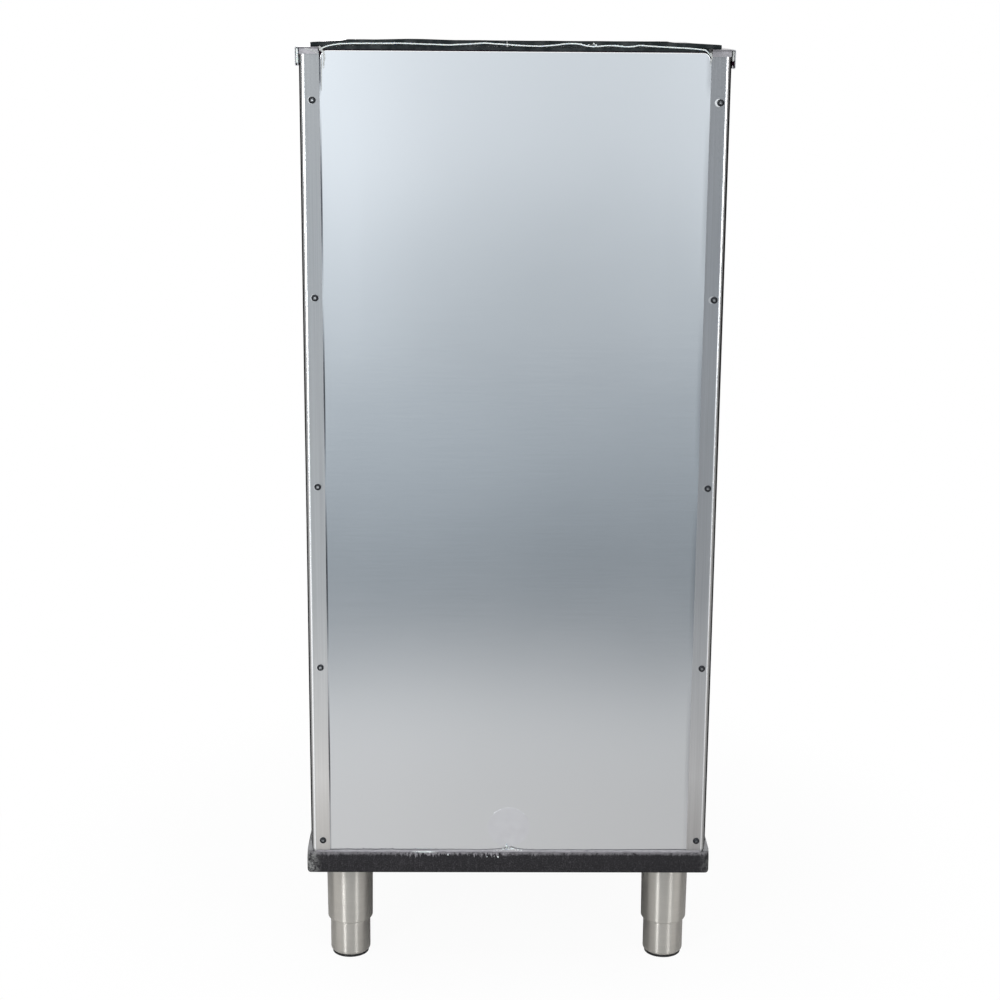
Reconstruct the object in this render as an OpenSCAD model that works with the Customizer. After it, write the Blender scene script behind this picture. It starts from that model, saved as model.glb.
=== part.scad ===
// Ice storage bin for a top mounted ice machine, 22 inches wide.
// The front faces -Y, the back faces +Y, and the floor is at height 0.

/* [Body] */
// Width of the steel body
body_w = 548; // [500:1:760]
// Depth of the steel body, front panel to back plane
body_d = 787; // [740:1:860]
// Height from the underside of the base to the top trims
body_h = 1120; // [1040:1:1300]
// Depth of the flat top that carries the ice machine
top_d = 616; // [590:1:650]
// Height of the upright strip above the sloped door face
fascia_h = 74; // [64:1:100]
// Height of the sloped door face, measured upright
slope_h = 480; // [470:1:540]

/* [Sheet metal] */
// Thickness of the steel sheet
sheet_t = 1; // [0.7:0.1:1.4]
// Width of the side panel flanges on the back
flange_w = 26; // [22:1:34]
// Outer bend radius of the back corners
bend_r = 7; // [4:0.5:9]
// Outer bend radius of the front corners
front_bend_r = 4; // [3:0.5:6]
// Depth of the folded edge along the top of the shell
top_fold = 12; // [8:1:16]
// Height of the relieved corners of the back panel
relief_h = 12; // [8:1:16]
// Side of the stiffening folds behind the bezel
return_l = 15; // [10:1:20]
// Gap between the folds at the corners of the side panels
fold_notch = 0.6; // [0.3:0.1:1.5]

/* [Top trims] */
// Height of the outer leg of a side trim
trim_leg = 24; // [18:1:30]
// Distance the outer leg stands off the side panel
trim_off = 3.5; // [3:0.5:6]
// Height of the tab that folds over the flange at each end
trim_tab = 9; // [6:1:14]

/* [Top seals] */
// Thickness of the rear seal
seal_t = 6; // [4:0.5:8]
// Width of the rear seal, front to back
seal_w = 28; // [20:1:32]
// Height that the rear seal crowns in the middle
seal_rise = 4.4; // [2:0.1:6]
// Overhang of the rear seal over each trim
seal_over = 10; // [6:1:16]
// Place of the butt joint of the rear seal
seal_joint_x = 10.5; // [-60:0.5:60]
// Thickness of the side and front seals
strip_t = 4; // [3:0.5:6]
// Width of the side and front seals
strip_w = 12; // [8:1:14]
// Clearance that soft pieces keep from their seats
soft_gap = 0.3; // [0.2:0.05:0.5]

/* [Insulation and liner] */
// Insulation behind the side panels
insul_side = 40; // [32:1:50]
// Insulation at the back
insul_back = 42; // [34:1:50]
// Insulation behind the front panel
insul_front = 44; // [36:1:50]
// Insulation above the base
insul_floor = 46; // [42:1:60]
// Insulation behind the sloped face
insul_slope = 30; // [26:1:38]
// Depth of the header above the door, to the liner
header_d = 40; // [34:1:50]
// Wall of the liner
liner_t = 4; // [3:0.5:6]
// Thickness of the liner's rim
rim_t = 4.3; // [3.5:0.1:6]
// Corner radius of the liner, seen from above
liner_r = 45; // [30:1:60]
// Radius between the liner's floor and walls
floor_r = 50; // [30:1:60]
// Fall of the liner floor towards the drain
floor_fall = 10; // [6:1:14]
// Clearance around the insulation
foam_gap = 0.2; // [0.1:0.05:0.4]

/* [Base] */
// Distance the base stands out past the steel
base_proud = 6; // [5:0.5:9]
// Height of the rim at the back
rim_back_h = 30; // [26:1:36]
// Height of the rim at the sides and front
rim_side_h = 46; // [40:1:56]
// Thickness of the base floor
base_floor = 8; // [7:0.5:10]
// Corner radius of the base, seen from above
base_r = 12; // [9:1:16]
// Radius of the lower edge of the base
base_edge_r = 3; // [2:0.5:6]
// Draft of the rim walls
base_draft = 1.2; // [0.6:0.1:2]
// Clearance between the rim and the steel
base_gap = 0.3; // [0.2:0.1:0.5]
// Height of the sloping part of the rim
rim_bevel = 12; // [8:1:14]
// Depth of the channels under the base
channel_depth = 3; // [2:0.5:4]
// Width of the channels under the base
channel_w = 60; // [40:1:80]

/* [Legs] */
// Height of the legs, floor to base
leg_h = 150; // [146:1:170]
// Outer radius of the leg tube
leg_r = 31.9; // [30:0.1:34]
// Flare of the leg tube towards its top
leg_flare = 0.8; // [0:0.1:1.5]
// Length of the leg tube below the base
tube_l = 96.6; // [94:0.2:100]
// Wall of the leg tube
tube_t = 2; // [1.5:0.1:2.4]
// Outer radius of the adjustable foot
foot_r = 28.2; // [26:0.1:28.4]
// Wall of the adjustable foot
foot_t = 1.6; // [1.2:0.1:2.2]
// Radius of the lower edge of the foot
foot_edge_r = 5; // [3:0.5:7]
// Thickness of the pad under the foot
pad_t = 3; // [2:0.5:4]
// Distance of the leg axes from the sides of the body
leg_side_in = 49.5; // [44:0.5:60]
// Distance of the leg axes from the back and front planes
leg_in = 64; // [50:1:90]
// Radius of the leg stud
stud_r = 7.9; // [6:0.1:9]
// Length of the leg stud above the tube
stud_l = 24; // [20:1:28]
// Radius of the threaded stem of the foot
stem_r = 7; // [5:0.1:8]
// Clearance around threads and running fits
fit_gap = 0.08; // [0.05:0.01:0.1]
// Height of the guide nut inside the tube
guide_h = 14; // [12:1:16]
// Travel of the foot
foot_travel = 25; // [20:1:30]

/* [Bezel and door] */
// Thickness of the bezel plate
bezel_t = 6; // [5:0.5:8]
// Height of the sealing lip on the bezel
lip_h = 6; // [5:0.5:8]
// Width of the sealing lip
lip_w = 12; // [10:1:14]
// Distance of the door opening from the sides of the body
opening_in = 79; // [74:1:94]
// Length of the door opening along the slope
opening_l = 340; // [320:1:345]
// Distance of the opening below the top of the slope
opening_down = 75; // [72:1:80]
// Corner radius of the door opening
opening_r = 30; // [24:1:40]
// Wall of the throat inside the opening
throat_t = 3; // [2.5:0.5:4]
// Distance of the door from the sides of the body
door_in = 44; // [42:1:54]
// Length of the door below its hinge axis
door_l = 400; // [396:1:410]
// Thickness of the door at its edges
door_t = 30; // [28:1:34]
// Crown of the door's face across the width
door_crown = 10; // [6:1:14]
// Wall of the door shell
door_wall = 3; // [2.5:0.5:4]
// Height of the gasket space between lip and door
gasket_space = 5.3; // [4.5:0.1:7]
// Distance of the hinge axis below the top of the slope
hinge_down = 40; // [38:1:44]
// Depth of the door plug behind the slope plane
plug_in = 6; // [2:1:12]
// Clearance around the door plug
plug_gap = 10; // [8:1:14]

/* [Hinges] */
// Radius of the hinge pins
pin_r = 4; // [3:0.1:5]
// Length of the pin inside the door
pin_l = 22; // [16:1:26]
// Outer radius of the hinge bushes
bush_r = 7; // [6:0.1:8]
// Thickness of the hinge brackets
bracket_t = 4; // [3:0.5:5]
// Gap between the door and a bracket
bracket_gap = 2; // [1.5:0.1:3]
// Length of a bracket along the slope
bracket_l = 36; // [30:1:42]
// Width of a bracket's foot
bracket_w = 26; // [22:1:28]

/* [Handle] */
// Width of the door handle
handle_w = 260; // [200:1:320]
// Length of the handle's mounting face along the door
handle_l = 40; // [36:1:50]
// Distance the handle stands out from the door
handle_out = 34; // [28:1:40]
// Wall of the handle
handle_t = 6; // [5:0.5:7]
// Distance of the handle above the door's lower edge
handle_up = 26; // [20:1:60]

/* [Baffle] */
// Height of the ice baffle below its pivot
baffle_h = 190; // [150:1:220]
// Thickness of the baffle
baffle_t = 3; // [2.5:0.5:4]
// Distance of the pivot below the top of the bin
baffle_down = 92; // [84:1:110]
// Distance of the pivot behind the header's liner wall
baffle_back = 44; // [36:1:60]
// Radius of the pivot pins
pivot_r = 5; // [4:0.1:6]
// Angle at which the baffle hangs
baffle_hang = 5; // [3:1:6]

/* [Drain] */
// Distance of the drain from the back plane
drain_in = 175; // [150:1:240]
// Bore of the drain outlet, as a radius
drain_r = 12.1; // [10:0.1:13]
// Outer radius of the drain fitting
drain_body_r = 16; // [15:0.1:18]
// Radius of the drain flange
drain_flange_r = 30; // [26:1:34]
// Thickness of the drain flange
drain_flange_t = 2.5; // [2:0.1:3]
// Drop of the outlet below the base
drain_drop = 16; // [14:1:24]
// Depth of the threaded outlet
outlet_l = 26; // [20:1:30]
// Height of the drain nut
drain_nut_h = 9; // [7:1:11]

/* [Fasteners] */
// Radius of the pan head screws
screw_head_r = 4; // [3:0.1:5]
// Height of the screw heads
screw_head_h = 2.6; // [2:0.1:3.2]
// Radius of the screw shanks
shank_r = 1.9; // [1.5:0.1:2.4]
// Screws along each back flange
screw_count = 5; // [3:1:7]
// Height of the lowest back screw above the base's underside
screw_low = 46; // [44:1:60]
// Distance of the highest back screw below the top
screw_top_in = 66; // [40:1:90]
// Distance of the right hand screws from the side of the body
screw_in_right = 16.5; // [14:0.5:17]
// Distance of the left hand screws from the side of the body
screw_in_left = 13; // [12:0.5:16]
// Height of the filling hole above the base's underside
fill_h = 66; // [60:1:120]
// Radius of the filling hole's cover
fill_cover_r = 29; // [24:1:34]

/* [Hidden] */
$fn = 64;

// Colours
steel = [0.72, 0.73, 0.74];
galvanised = [0.70, 0.74, 0.78];
black = [0.10, 0.10, 0.11];
grey = [0.30, 0.31, 0.33];
white = [0.92, 0.93, 0.93];
foam_tint = [0.90, 0.84, 0.62];

// Slope of the door face
slope = atan((body_d - top_d) / slope_h);
slope_l = sqrt(pow(body_d - top_d, 2) + pow(slope_h, 2));

// Widths of the door and its opening
door_w = body_w - 2 * door_in;
opening_w = body_w - 2 * opening_in;

// Hinge axis and door faces, as distances out of the slope plane
hinge_out = bezel_t + lip_h + gasket_space + door_t / 2;
door_back = hinge_out - door_t / 2;
door_front = hinge_out + door_t / 2;
door_end = hinge_down + door_l;
crown_r = (pow(door_w / 2, 2) + pow(door_crown, 2)) / (2 * door_crown);

// Handle: its lip ends in a round nose, the foremost point of the bin
handle_face = door_front + door_crown;
nose_out = handle_face + handle_out - handle_t / 2;
nose_down = door_end - handle_up - handle_t / 2;
reach = top_d + nose_out * cos(slope) + nose_down * sin(slope) + handle_t / 2;

// Planes of the body. The outline is centred between the base's back and the handle
y_back = (reach - base_proud) / 2;
y_front = y_back - body_d;
y_deck = y_back - top_d;
half_w = body_w / 2;
z_base = leg_h;
z_seat = z_base + base_floor;
z_top = z_base + body_h;
z_rim = z_top - sheet_t;
z_shell = z_rim - rim_t;
z_slope_top = z_shell - fascia_h;
z_slope_low = z_slope_top - slope_h;

// Insulation and liner planes
liner_x = half_w - sheet_t - insul_side;
liner_back = 2 * sheet_t + insul_back;
liner_front = 2 * sheet_t + insul_front;
liner_slope = sheet_t + insul_slope;
liner_head = 2 * sheet_t + header_d;
z_floor = z_seat + insul_floor;
y_drain = y_back - drain_in;

// Legs
leg_x = half_w - leg_side_in;
leg_y_rear = y_back - leg_in;
leg_y_front = y_front + leg_in;
z_tube_low = z_base - tube_l;
tube_cap = 4;
z_guide = z_base - tube_cap - foot_travel - guide_h - 4;
z_foot_top = z_guide - 0.5;
z_stem_top = z_base - tube_cap - 3;
collar_h = 5;

// Trims and seals
trim_x = half_w + trim_off + sheet_t;
trim_in = half_w - flange_w + sheet_t;
seal_set_in = 4;
seal_half = trim_in - seal_set_in;
seal_end = trim_in + seal_over;
bead_h = 1.6;
bead_t = 1.2;
hook_gap = 0.1;
hook_r = (trim_off + sheet_t - hook_gap) / 2;
hook_end = 2;

// Screws
screw_pitch = (body_h - screw_top_in - screw_low) / (screw_count - 1);
shank_gap = 0.1;
rear_shank_l = 8;
screw_grip = 6;
bezel_shank_l = bezel_t + screw_grip;
bezel_screw_x = half_w - flange_w / 2;
bezel_screw_end = 22;
bezel_screw_down = 15;
handle_screw_in = 30;
handle_screw_x = handle_w / 2 - handle_screw_in;

// Smaller sizes of the top, base, door and drain
front_fold = 24;
rim_back = 10;
boss_r = 21;
socket_r = 13;
boss_rise = 18;
socket_h = base_floor + boss_rise;
channel_x = leg_x / 2;
door_corner_r = 14;
bush_l = pin_l + 2;
bracket_foot_t = 3;
handle_base_t = 4;
baffle_fold = 16;
washer_t = 1.2;
strainer_t = 1.6;
strainer_r = 14;

// Spare length of cutting bodies
body_margin = 20;

// Baffle pivot
y_pivot = y_deck + liner_head + liner_t + baffle_back;
z_pivot = z_top - baffle_down;
baffle_x = liner_x - liner_t - 5;
ear_r = 12;

// Height of a line that lies the given distance behind the slope plane, at a given depth
function slope_z(y, inset) = z_slope_top - inset * sin(slope)
    - (y_deck + inset * cos(slope) - y) / sin(slope) * cos(slope);

// Side view of the body, set in from the back, the strip above the door, the slope,
// the lower front, and cut at two heights
function side_view(back, head, face, front, low, high) = [
    [y_back - back, low],
    [y_back - back, high],
    [y_deck + head, high],
    [y_deck + head, slope_z(y_deck + head, face)],
    [y_front + front, slope_z(y_front + front, face)],
    [y_front + front, low]
];

function unit(v) = v / norm(v);

// Half the angle of an outline at its corner p, between the neighbours a and b
function corner_half(a, p, b) = acos(unit(a - p) * unit(b - p)) / 2;

// Extrudes a side view, drawn as [depth, height], across the width
module across(x0, x1) {
    translate([x0, 0, 0])
        rotate([90, 0, 90])
            linear_extrude(x1 - x0)
                children();
}

// Extrudes a front view, drawn as [width, height], along the depth
module along(y0, y1) {
    translate([0, y1, 0])
        rotate([90, 0, 0])
            linear_extrude(y1 - y0)
                children();
}

// Extrudes a plan upwards between two heights
module upright(z0, z1) {
    translate([0, 0, z0])
        linear_extrude(z1 - z0)
            children();
}

// Mirrors a piece made for the right hand side, x > 0
module on_left() {
    mirror([1, 0, 0])
        children();
}

module both_sides() {
    children();
    on_left()
        children();
}

// Axes of the sloped door face: Z runs up the slope from its top edge, Y points inwards
module on_slope() {
    translate([0, y_deck, z_slope_top])
        rotate([-slope, 0, 0])
            children();
}

// Rectangle between two corners, with round corners
module rounded_box(x0, y0, x1, y1, r) {
    translate([x0 + r, y0])
        square([x1 - x0 - 2 * r, y1 - y0]);
    translate([x0, y0 + r])
        square([x1 - x0, y1 - y0 - 2 * r]);
    for (x = [x0 + r, x1 - r])
        for (y = [y0 + r, y1 - r])
            translate([x, y])
                circle(r);
}

// Polygon with a radius at each outward corner; inward corners have radius 0
module rounded_outline(points, radii) {
    n = len(points);
    polygon([
        for (i = [0 : n - 1])
            let (
                p = points[i],
                a = points[(i + n - 1) % n],
                b = points[(i + 1) % n],
                t = radii[i] / tan(corner_half(a, p, b))
            )
            each radii[i] == 0 ? [p] : [p + unit(a - p) * t, p + unit(b - p) * t]
    ]);
    for (i = [0 : n - 1])
        if (radii[i] > 0) {
            p = points[i];
            a = unit(points[(i + n - 1) % n] - p);
            b = unit(points[(i + 1) % n] - p);
            translate(p + unit(a + b) * radii[i] / sin(acos(a * b) / 2))
                circle(radii[i]);
        }
}

// Plan of the outer corner of a folded sheet, from the web to the flange
module fold_plan(r, web, flange) {
    // the bend, with its centre at the origin and the corner towards +X +Y
    intersection() {
        difference() {
            circle(r);
            circle(r - sheet_t);
        }
        square([r, r]);
    }
    translate([r - sheet_t, -web])
        square([sheet_t, web]);
    translate([-flange, r - sheet_t])
        square([flange, sheet_t]);
}

// Pan head screw: its head stands on the plane Z = 0 and the shank runs down
module pan_screw(length) {
    difference() {
        intersection() {
            cylinder(r = screw_head_r, h = screw_head_h);
            translate([0, 0, screw_head_h - 2.2 * screw_head_r])
                sphere(r = 2.2 * screw_head_r);
        }
        translate([0, 0, screw_head_h - 1])
            cylinder(r = screw_head_r * 0.3, h = 2);
    }
    translate([0, 0, -length])
        cylinder(r = shank_r, h = length + 0.5);
}

// Places something at every back flange screw, with Z pointing out of the back
module at_rear_screws() {
    for (i = [0 : screw_count - 1])
        for (x = [screw_in_left - half_w, half_w - screw_in_right])
            translate([x, y_back, z_base + screw_low + i * screw_pitch])
                rotate([-90, 0, 0])
                    children();
}

module shank_hole(depth) {
    translate([0, 0, -depth])
        cylinder(r = shank_r + shank_gap, h = depth + 1);
}

// Galvanised back panel, folded in along its top edge and relieved at its top corners
module back_panel() {
    edge = half_w - bend_r - 3;
    relief_x = half_w - flange_w - 0.5;
    color(galvanised)
        difference() {
            union() {
                along(y_back - 2 * sheet_t, y_back - sheet_t) {
                    translate([-edge, z_seat])
                        square([2 * edge, z_shell - z_seat - relief_h]);
                    rounded_box(-relief_x, z_seat, relief_x, z_shell, 8);
                }
                translate([8 - relief_x, y_back - sheet_t - top_fold, z_shell - sheet_t])
                    cube([2 * relief_x - 16, top_fold, sheet_t]);
            }
            at_rear_screws()
                shank_hole(4);
            translate([0, y_back, z_base + fill_h])
                rotate([90, 0, 0])
                    cylinder(r = fill_cover_r - 8, h = 4);
        }
}

// Thin disc that closes the filling hole
module fill_cover() {
    color(galvanised)
        translate([0, y_back - sheet_t, z_base + fill_h])
            rotate([-90, 0, 0])
                difference() {
                    cylinder(r = fill_cover_r, h = 0.8);
                    translate([0, 0, 0.5])
                        cylinder(r = fill_cover_r - 5, h = 1);
                }
}

// Side panel for the right hand side, before its screw holes: a web with folded edges all round
module side_panel_blank() {
    front_edge = front_bend_r + sheet_t;
    front_flange = flange_w - front_bend_r;
    across(half_w - sheet_t, half_w)
        polygon(side_view(bend_r, front_edge, front_bend_r, front_edge, z_seat, z_shell));
    // back corner and flange
    translate([half_w - bend_r, y_back - bend_r, 0])
        upright(z_seat, z_shell)
            fold_plan(bend_r, 1, flange_w - bend_r);
    // lower front corner and flange
    translate([half_w - front_bend_r, y_front + front_edge, 0])
        mirror([0, 1, 0])
            upright(z_seat, z_slope_low - fold_notch)
                fold_plan(front_bend_r, 1, front_flange);
    // corner and flange beside the upright strip above the door
    translate([half_w - front_bend_r, y_deck + front_edge, 0])
        mirror([0, 1, 0])
            upright(z_slope_top + fold_notch, z_shell)
                fold_plan(front_bend_r, 1, front_flange);
    // corner and flange along the slope, notched level at both ends
    intersection() {
        on_slope()
            translate([half_w - front_bend_r, front_bend_r, 0])
                mirror([0, 1, 0])
                    upright(-slope_l - body_margin, body_margin)
                        fold_plan(front_bend_r, 1, front_flange);
        translate([0, y_front - body_margin, z_slope_low])
            cube([half_w + body_margin, body_d, slope_h]);
    }
    // folded top edge
    translate([half_w - top_fold, y_deck + front_edge, z_shell - sheet_t])
        cube([top_fold, top_d - front_edge - bend_r, sheet_t]);
}

module side_panel_right() {
    color(steel)
        difference() {
            side_panel_blank();
            at_rear_screws()
                shank_hole(4);
            at_bezel_screws()
                shank_hole(bezel_t + 4);
        }
}

module side_panel_left() {
    color(steel)
        difference() {
            on_left()
                side_panel_blank();
            at_rear_screws()
                shank_hole(4);
            at_bezel_screws()
                shank_hole(bezel_t + 4);
        }
}

// Front panel below the door, folded back along the slope behind the bezel
module front_panel() {
    panel_x = half_w - front_bend_r - 1;
    color(steel) {
        along(y_front, y_front + sheet_t)
            translate([-panel_x, z_seat])
                square([2 * panel_x, z_slope_low - z_seat]);
        on_slope()
            along(0, sheet_t)
                translate([1 + flange_w - half_w, -slope_l])
                    square([2 * (half_w - flange_w - 1), return_l]);
    }
}

// Upright strip above the door, folded over the top and back along the slope
module top_front_trim() {
    strip_x = half_w - front_bend_r - 1;
    fold_x = trim_in - 0.5;
    color(steel) {
        along(y_deck, y_deck + sheet_t) {
            translate([-strip_x, z_slope_top])
                square([2 * strip_x, z_rim - z_slope_top]);
            translate([-fold_x, z_rim - 1])
                square([2 * fold_x, 1 + sheet_t]);
        }
        translate([-fold_x, y_deck, z_rim])
            cube([2 * fold_x, front_fold, sheet_t]);
        on_slope()
            along(0, sheet_t)
                translate([1 + flange_w - half_w, -return_l])
                    square([2 * (half_w - flange_w - 1), return_l]);
    }
}

// J-shaped trim along the top of the right hand side
module side_trim() {
    corner = 2 * sheet_t;
    leg_low = z_top - trim_leg + hook_r;
    along(y_deck, y_back) {
        translate([trim_in, z_rim])
            square([trim_x - corner - trim_in, sheet_t]);
        translate([trim_x - sheet_t, leg_low])
            square([sheet_t, z_top - corner - leg_low]);
        // top corner
        translate([trim_x - corner, z_top - corner])
            intersection() {
                difference() {
                    circle(corner);
                    circle(corner - sheet_t);
                }
                square(corner);
            }
        // hook that turns in to the side panel
        translate([trim_x - hook_r, leg_low]) {
            intersection() {
                difference() {
                    circle(hook_r);
                    circle(hook_r - sheet_t);
                }
                translate([-hook_r, -hook_r])
                    square([2 * hook_r, hook_r]);
            }
            translate([-hook_r, 0])
                square([sheet_t, hook_end]);
        }
    }
    // tabs folded over both ends
    translate([trim_in, y_deck - sheet_t, z_rim])
        cube([half_w - sheet_t - trim_in, top_d + 2 * sheet_t, sheet_t]);
    for (y = [y_deck - sheet_t, y_back])
        translate([trim_in, y, z_top - trim_tab])
            cube([half_w - sheet_t - trim_in, sheet_t, trim_tab]);
}

module top_trim_right() {
    color(steel)
        side_trim();
}

module top_trim_left() {
    color(steel)
        on_left()
            side_trim();
}

// Tub shape of the liner, set in from its outer surface, open upwards to a height
module tub(inset, high) {
    back = liner_back + inset;
    front = liner_front + inset;
    head = liner_head + inset;
    face = liner_slope + inset;
    wall_x = liner_x - inset;
    r = floor_r - inset;
    intersection() {
        across(-wall_x, wall_x)
            rounded_outline(
                [
                    [y_back - back, z_floor + inset + 0.3 * floor_fall],
                    [y_back - back, high],
                    [y_deck + head, high],
                    [y_deck + head, slope_z(y_deck + head, face)],
                    [y_front + front, slope_z(y_front + front, face)],
                    [y_front + front, z_floor + inset + floor_fall],
                    [y_drain, z_floor + inset]
                ],
                [r, 0, 0, 0, r, r, 0]
            );
        upright(z_base, high + 1)
            rounded_box(-wall_x, y_front + front, wall_x, y_back - back, liner_r - inset);
    }
}

// Door opening as a prism square to the slope, grown all round, between two depths
module opening_prism(grow, y0, y1) {
    on_slope()
        along(y0, y1)
            rounded_box(-opening_w / 2 - grow, -opening_down - opening_l - grow,
                opening_w / 2 + grow, grow - opening_down, opening_r + grow);
}

// Places something at the drain, at height 0
module at_drain() {
    translate([0, y_drain, 0])
        children();
}

// Places something at both baffle pivots, with Z pointing out of the liner wall
module at_pivots() {
    both_sides()
        translate([0, y_pivot, z_pivot])
            rotate([0, 90, 0])
                children();
}

// Moulded liner tub with a rim that rests on the shell
module liner() {
    color(white)
        difference() {
            union() {
                tub(0, z_rim);
                upright(z_shell, z_rim)
                    rounded_box(-half_w, y_deck + sheet_t, half_w, y_back - rim_back, 4);
                at_drain()
                    upright(z_floor - 2, z_floor + liner_t)
                        circle(drain_flange_r + 5);
            }
            tub(liner_t, z_rim + 1);
            opening_prism(throat_t + soft_gap, -2, liner_slope + body_margin);
            at_drain() {
                upright(z_floor - 3, z_floor + liner_t)
                    circle(drain_body_r + soft_gap);
                upright(z_floor + liner_t - drain_flange_t, z_floor + body_margin)
                    circle(drain_flange_r + soft_gap);
            }
            at_pivots()
                translate([0, 0, liner_x - liner_t - 1])
                    cylinder(r = pivot_r + shank_gap, h = liner_t + 2);
        }
}

// Bar that takes the outer corner off the insulation beside a folded edge
module corner_bar(r) {
    difference() {
        translate([-r, -1])
            square([r + 1, r + 1]);
        translate([-r, r])
            circle(r);
    }
}

// Insulation foamed in place between the shell, the base and the liner
module insulation() {
    side = sheet_t + foam_gap;
    lap = 2 * sheet_t + foam_gap;
    corner = front_bend_r + 3;
    color(foam_tint)
        difference() {
            intersection() {
                across(side - half_w, half_w - side)
                    polygon(side_view(lap, lap, lap, lap, z_seat, z_shell - sheet_t - foam_gap));
                upright(z_base, z_top)
                    rounded_box(side - half_w, y_front + lap, half_w - side, y_back - lap,
                        max(bend_r, front_bend_r) + 1);
            }
            tub(-foam_gap, z_top);
            opening_prism(throat_t + foam_gap, -5, liner_slope + 5);
            both_sides() {
                on_slope()
                    translate([half_w, 0, 0])
                        upright(-slope_l - 10, 10)
                            corner_bar(corner);
                translate([half_w, y_deck + sheet_t, 0])
                    upright(z_slope_top - 10, z_top)
                        corner_bar(corner);
            }
            at_legs()
                upright(z_base, z_base + socket_h + foam_gap)
                    circle(boss_r + foam_gap);
            at_drain() {
                upright(z_base, z_floor + 1)
                    circle(drain_body_r + 2 * foam_gap);
                upright(z_floor - 2 - foam_gap, z_floor + 5)
                    circle(drain_flange_r + 5 + foam_gap);
            }
            at_pivots()
                translate([0, 0, liner_x - 2])
                    cylinder(r = pivot_r + 4 + foam_gap, h = 5 + foam_gap);
            at_rear_screws()
                shank_hole(rear_shank_l + 1);
            at_bezel_screws()
                shank_hole(bezel_shank_l + 1);
        }
}

// Places something on the axis of every leg, at height 0
module at_legs() {
    for (x = [-leg_x, leg_x])
        for (y = [leg_y_rear, leg_y_front])
            translate([x, y, 0])
                children();
}

// Moulded black tray that the steel body stands in
module base() {
    outer_x = half_w + base_proud;
    back = y_back + base_proud;
    front = y_front - base_proud;
    shoulder = rim_side_h - rim_bevel;
    upright_h = rim_back_h / 2;
    crest = base_gap + 0.8;
    pocket_x = half_w + base_gap;
    color(black)
        difference() {
            intersection() {
                upright(z_base, z_base + rim_side_h)
                    rounded_box(-outer_x, front, outer_x, back, base_r);
                along(front - 1, back + 1)
                    translate([0, z_base])
                        rounded_outline(
                            [
                                [-outer_x, 0],
                                [outer_x, 0],
                                [outer_x, upright_h],
                                [outer_x - base_draft, shoulder],
                                [half_w + crest, rim_side_h],
                                [-half_w - crest, rim_side_h],
                                [base_draft - outer_x, shoulder],
                                [-outer_x, upright_h]
                            ],
                            [base_edge_r, base_edge_r, 0, 0, 0, 0, 0, 0]
                        );
                across(-outer_x - 1, outer_x + 1)
                    translate([0, z_base])
                        rounded_outline(
                            [
                                [front, 0],
                                [back, 0],
                                [back, upright_h],
                                [back - base_draft, rim_back_h],
                                [y_back - 1, rim_back_h],
                                [y_back - 4, rim_side_h],
                                [y_front - crest, rim_side_h],
                                [front + base_draft, shoulder],
                                [front, upright_h]
                            ],
                            [base_edge_r, base_edge_r, 0, 0, 0, 0, 0, 0, 0]
                        );
            }
            difference() {
                // pocket for the steel body, with the corners of its two bends
                upright(z_seat, z_top) {
                    rounded_box(-pocket_x, y_deck, pocket_x, y_back + base_gap, bend_r + base_gap);
                    rounded_box(-pocket_x, y_front - base_gap, pocket_x, y_deck + body_margin,
                        front_bend_r + base_gap);
                }
                at_legs()
                    upright(z_base, z_base + socket_h)
                        circle(boss_r);
            }
            at_legs()
                upright(z_base - 1, z_top)
                    circle(socket_r + shank_gap);
            at_drain()
                upright(z_base - 1, z_top)
                    circle(drain_body_r + soft_gap);
            // channels along the underside
            both_sides()
                upright(z_base - 1, z_base + channel_depth)
                    rounded_box(channel_x - channel_w / 2, leg_y_front, channel_x + channel_w / 2,
                        leg_y_rear, 10);
        }
}

// Threaded socket in each boss of the base
module leg_sockets() {
    color(steel)
        at_legs()
            upright(z_base, z_base + socket_h)
                difference() {
                    circle(socket_r);
                    circle(stud_r + fit_gap);
                }
}

// Leg tube on the floor axis: flared, with a closed top, collar and stud, and a rolled lower edge
module leg() {
    roll_r = leg_r - foot_r - soft_gap;
    roll_t = min(tube_t, roll_r - 0.5);
    color(steel) {
        rotate_extrude() {
            polygon([
                [leg_r - tube_t, z_tube_low + roll_r],
                [leg_r, z_tube_low + roll_r],
                [leg_r + leg_flare, z_base],
                [leg_r - tube_t, z_base]
            ]);
            translate([leg_r - roll_r, z_tube_low + roll_r])
                intersection() {
                    difference() {
                        circle(roll_r);
                        circle(roll_r - roll_t);
                    }
                    translate([0, -roll_r])
                        square(roll_r);
                }
            translate([0, z_base - tube_cap])
                square([leg_r, tube_cap]);
            translate([leg_r - 1, z_base - collar_h])
                square([leg_flare + 1.4, collar_h]);
        }
        upright(z_base - 1, z_base + stud_l)
            circle(stud_r);
    }
}

module leg_rear_left() {
    translate([-leg_x, leg_y_rear, 0])
        leg();
}

module leg_rear_right() {
    translate([leg_x, leg_y_rear, 0])
        leg();
}

module leg_front_left() {
    translate([-leg_x, leg_y_front, 0])
        leg();
}

module leg_front_right() {
    translate([leg_x, leg_y_front, 0])
        leg();
}

// Threaded guide fixed inside each leg tube
module leg_guides() {
    color(grey)
        at_legs()
            upright(z_guide, z_guide + guide_h)
                difference() {
                    circle(leg_r - tube_t - shank_gap);
                    circle(stem_r + fit_gap);
                }
}

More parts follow.
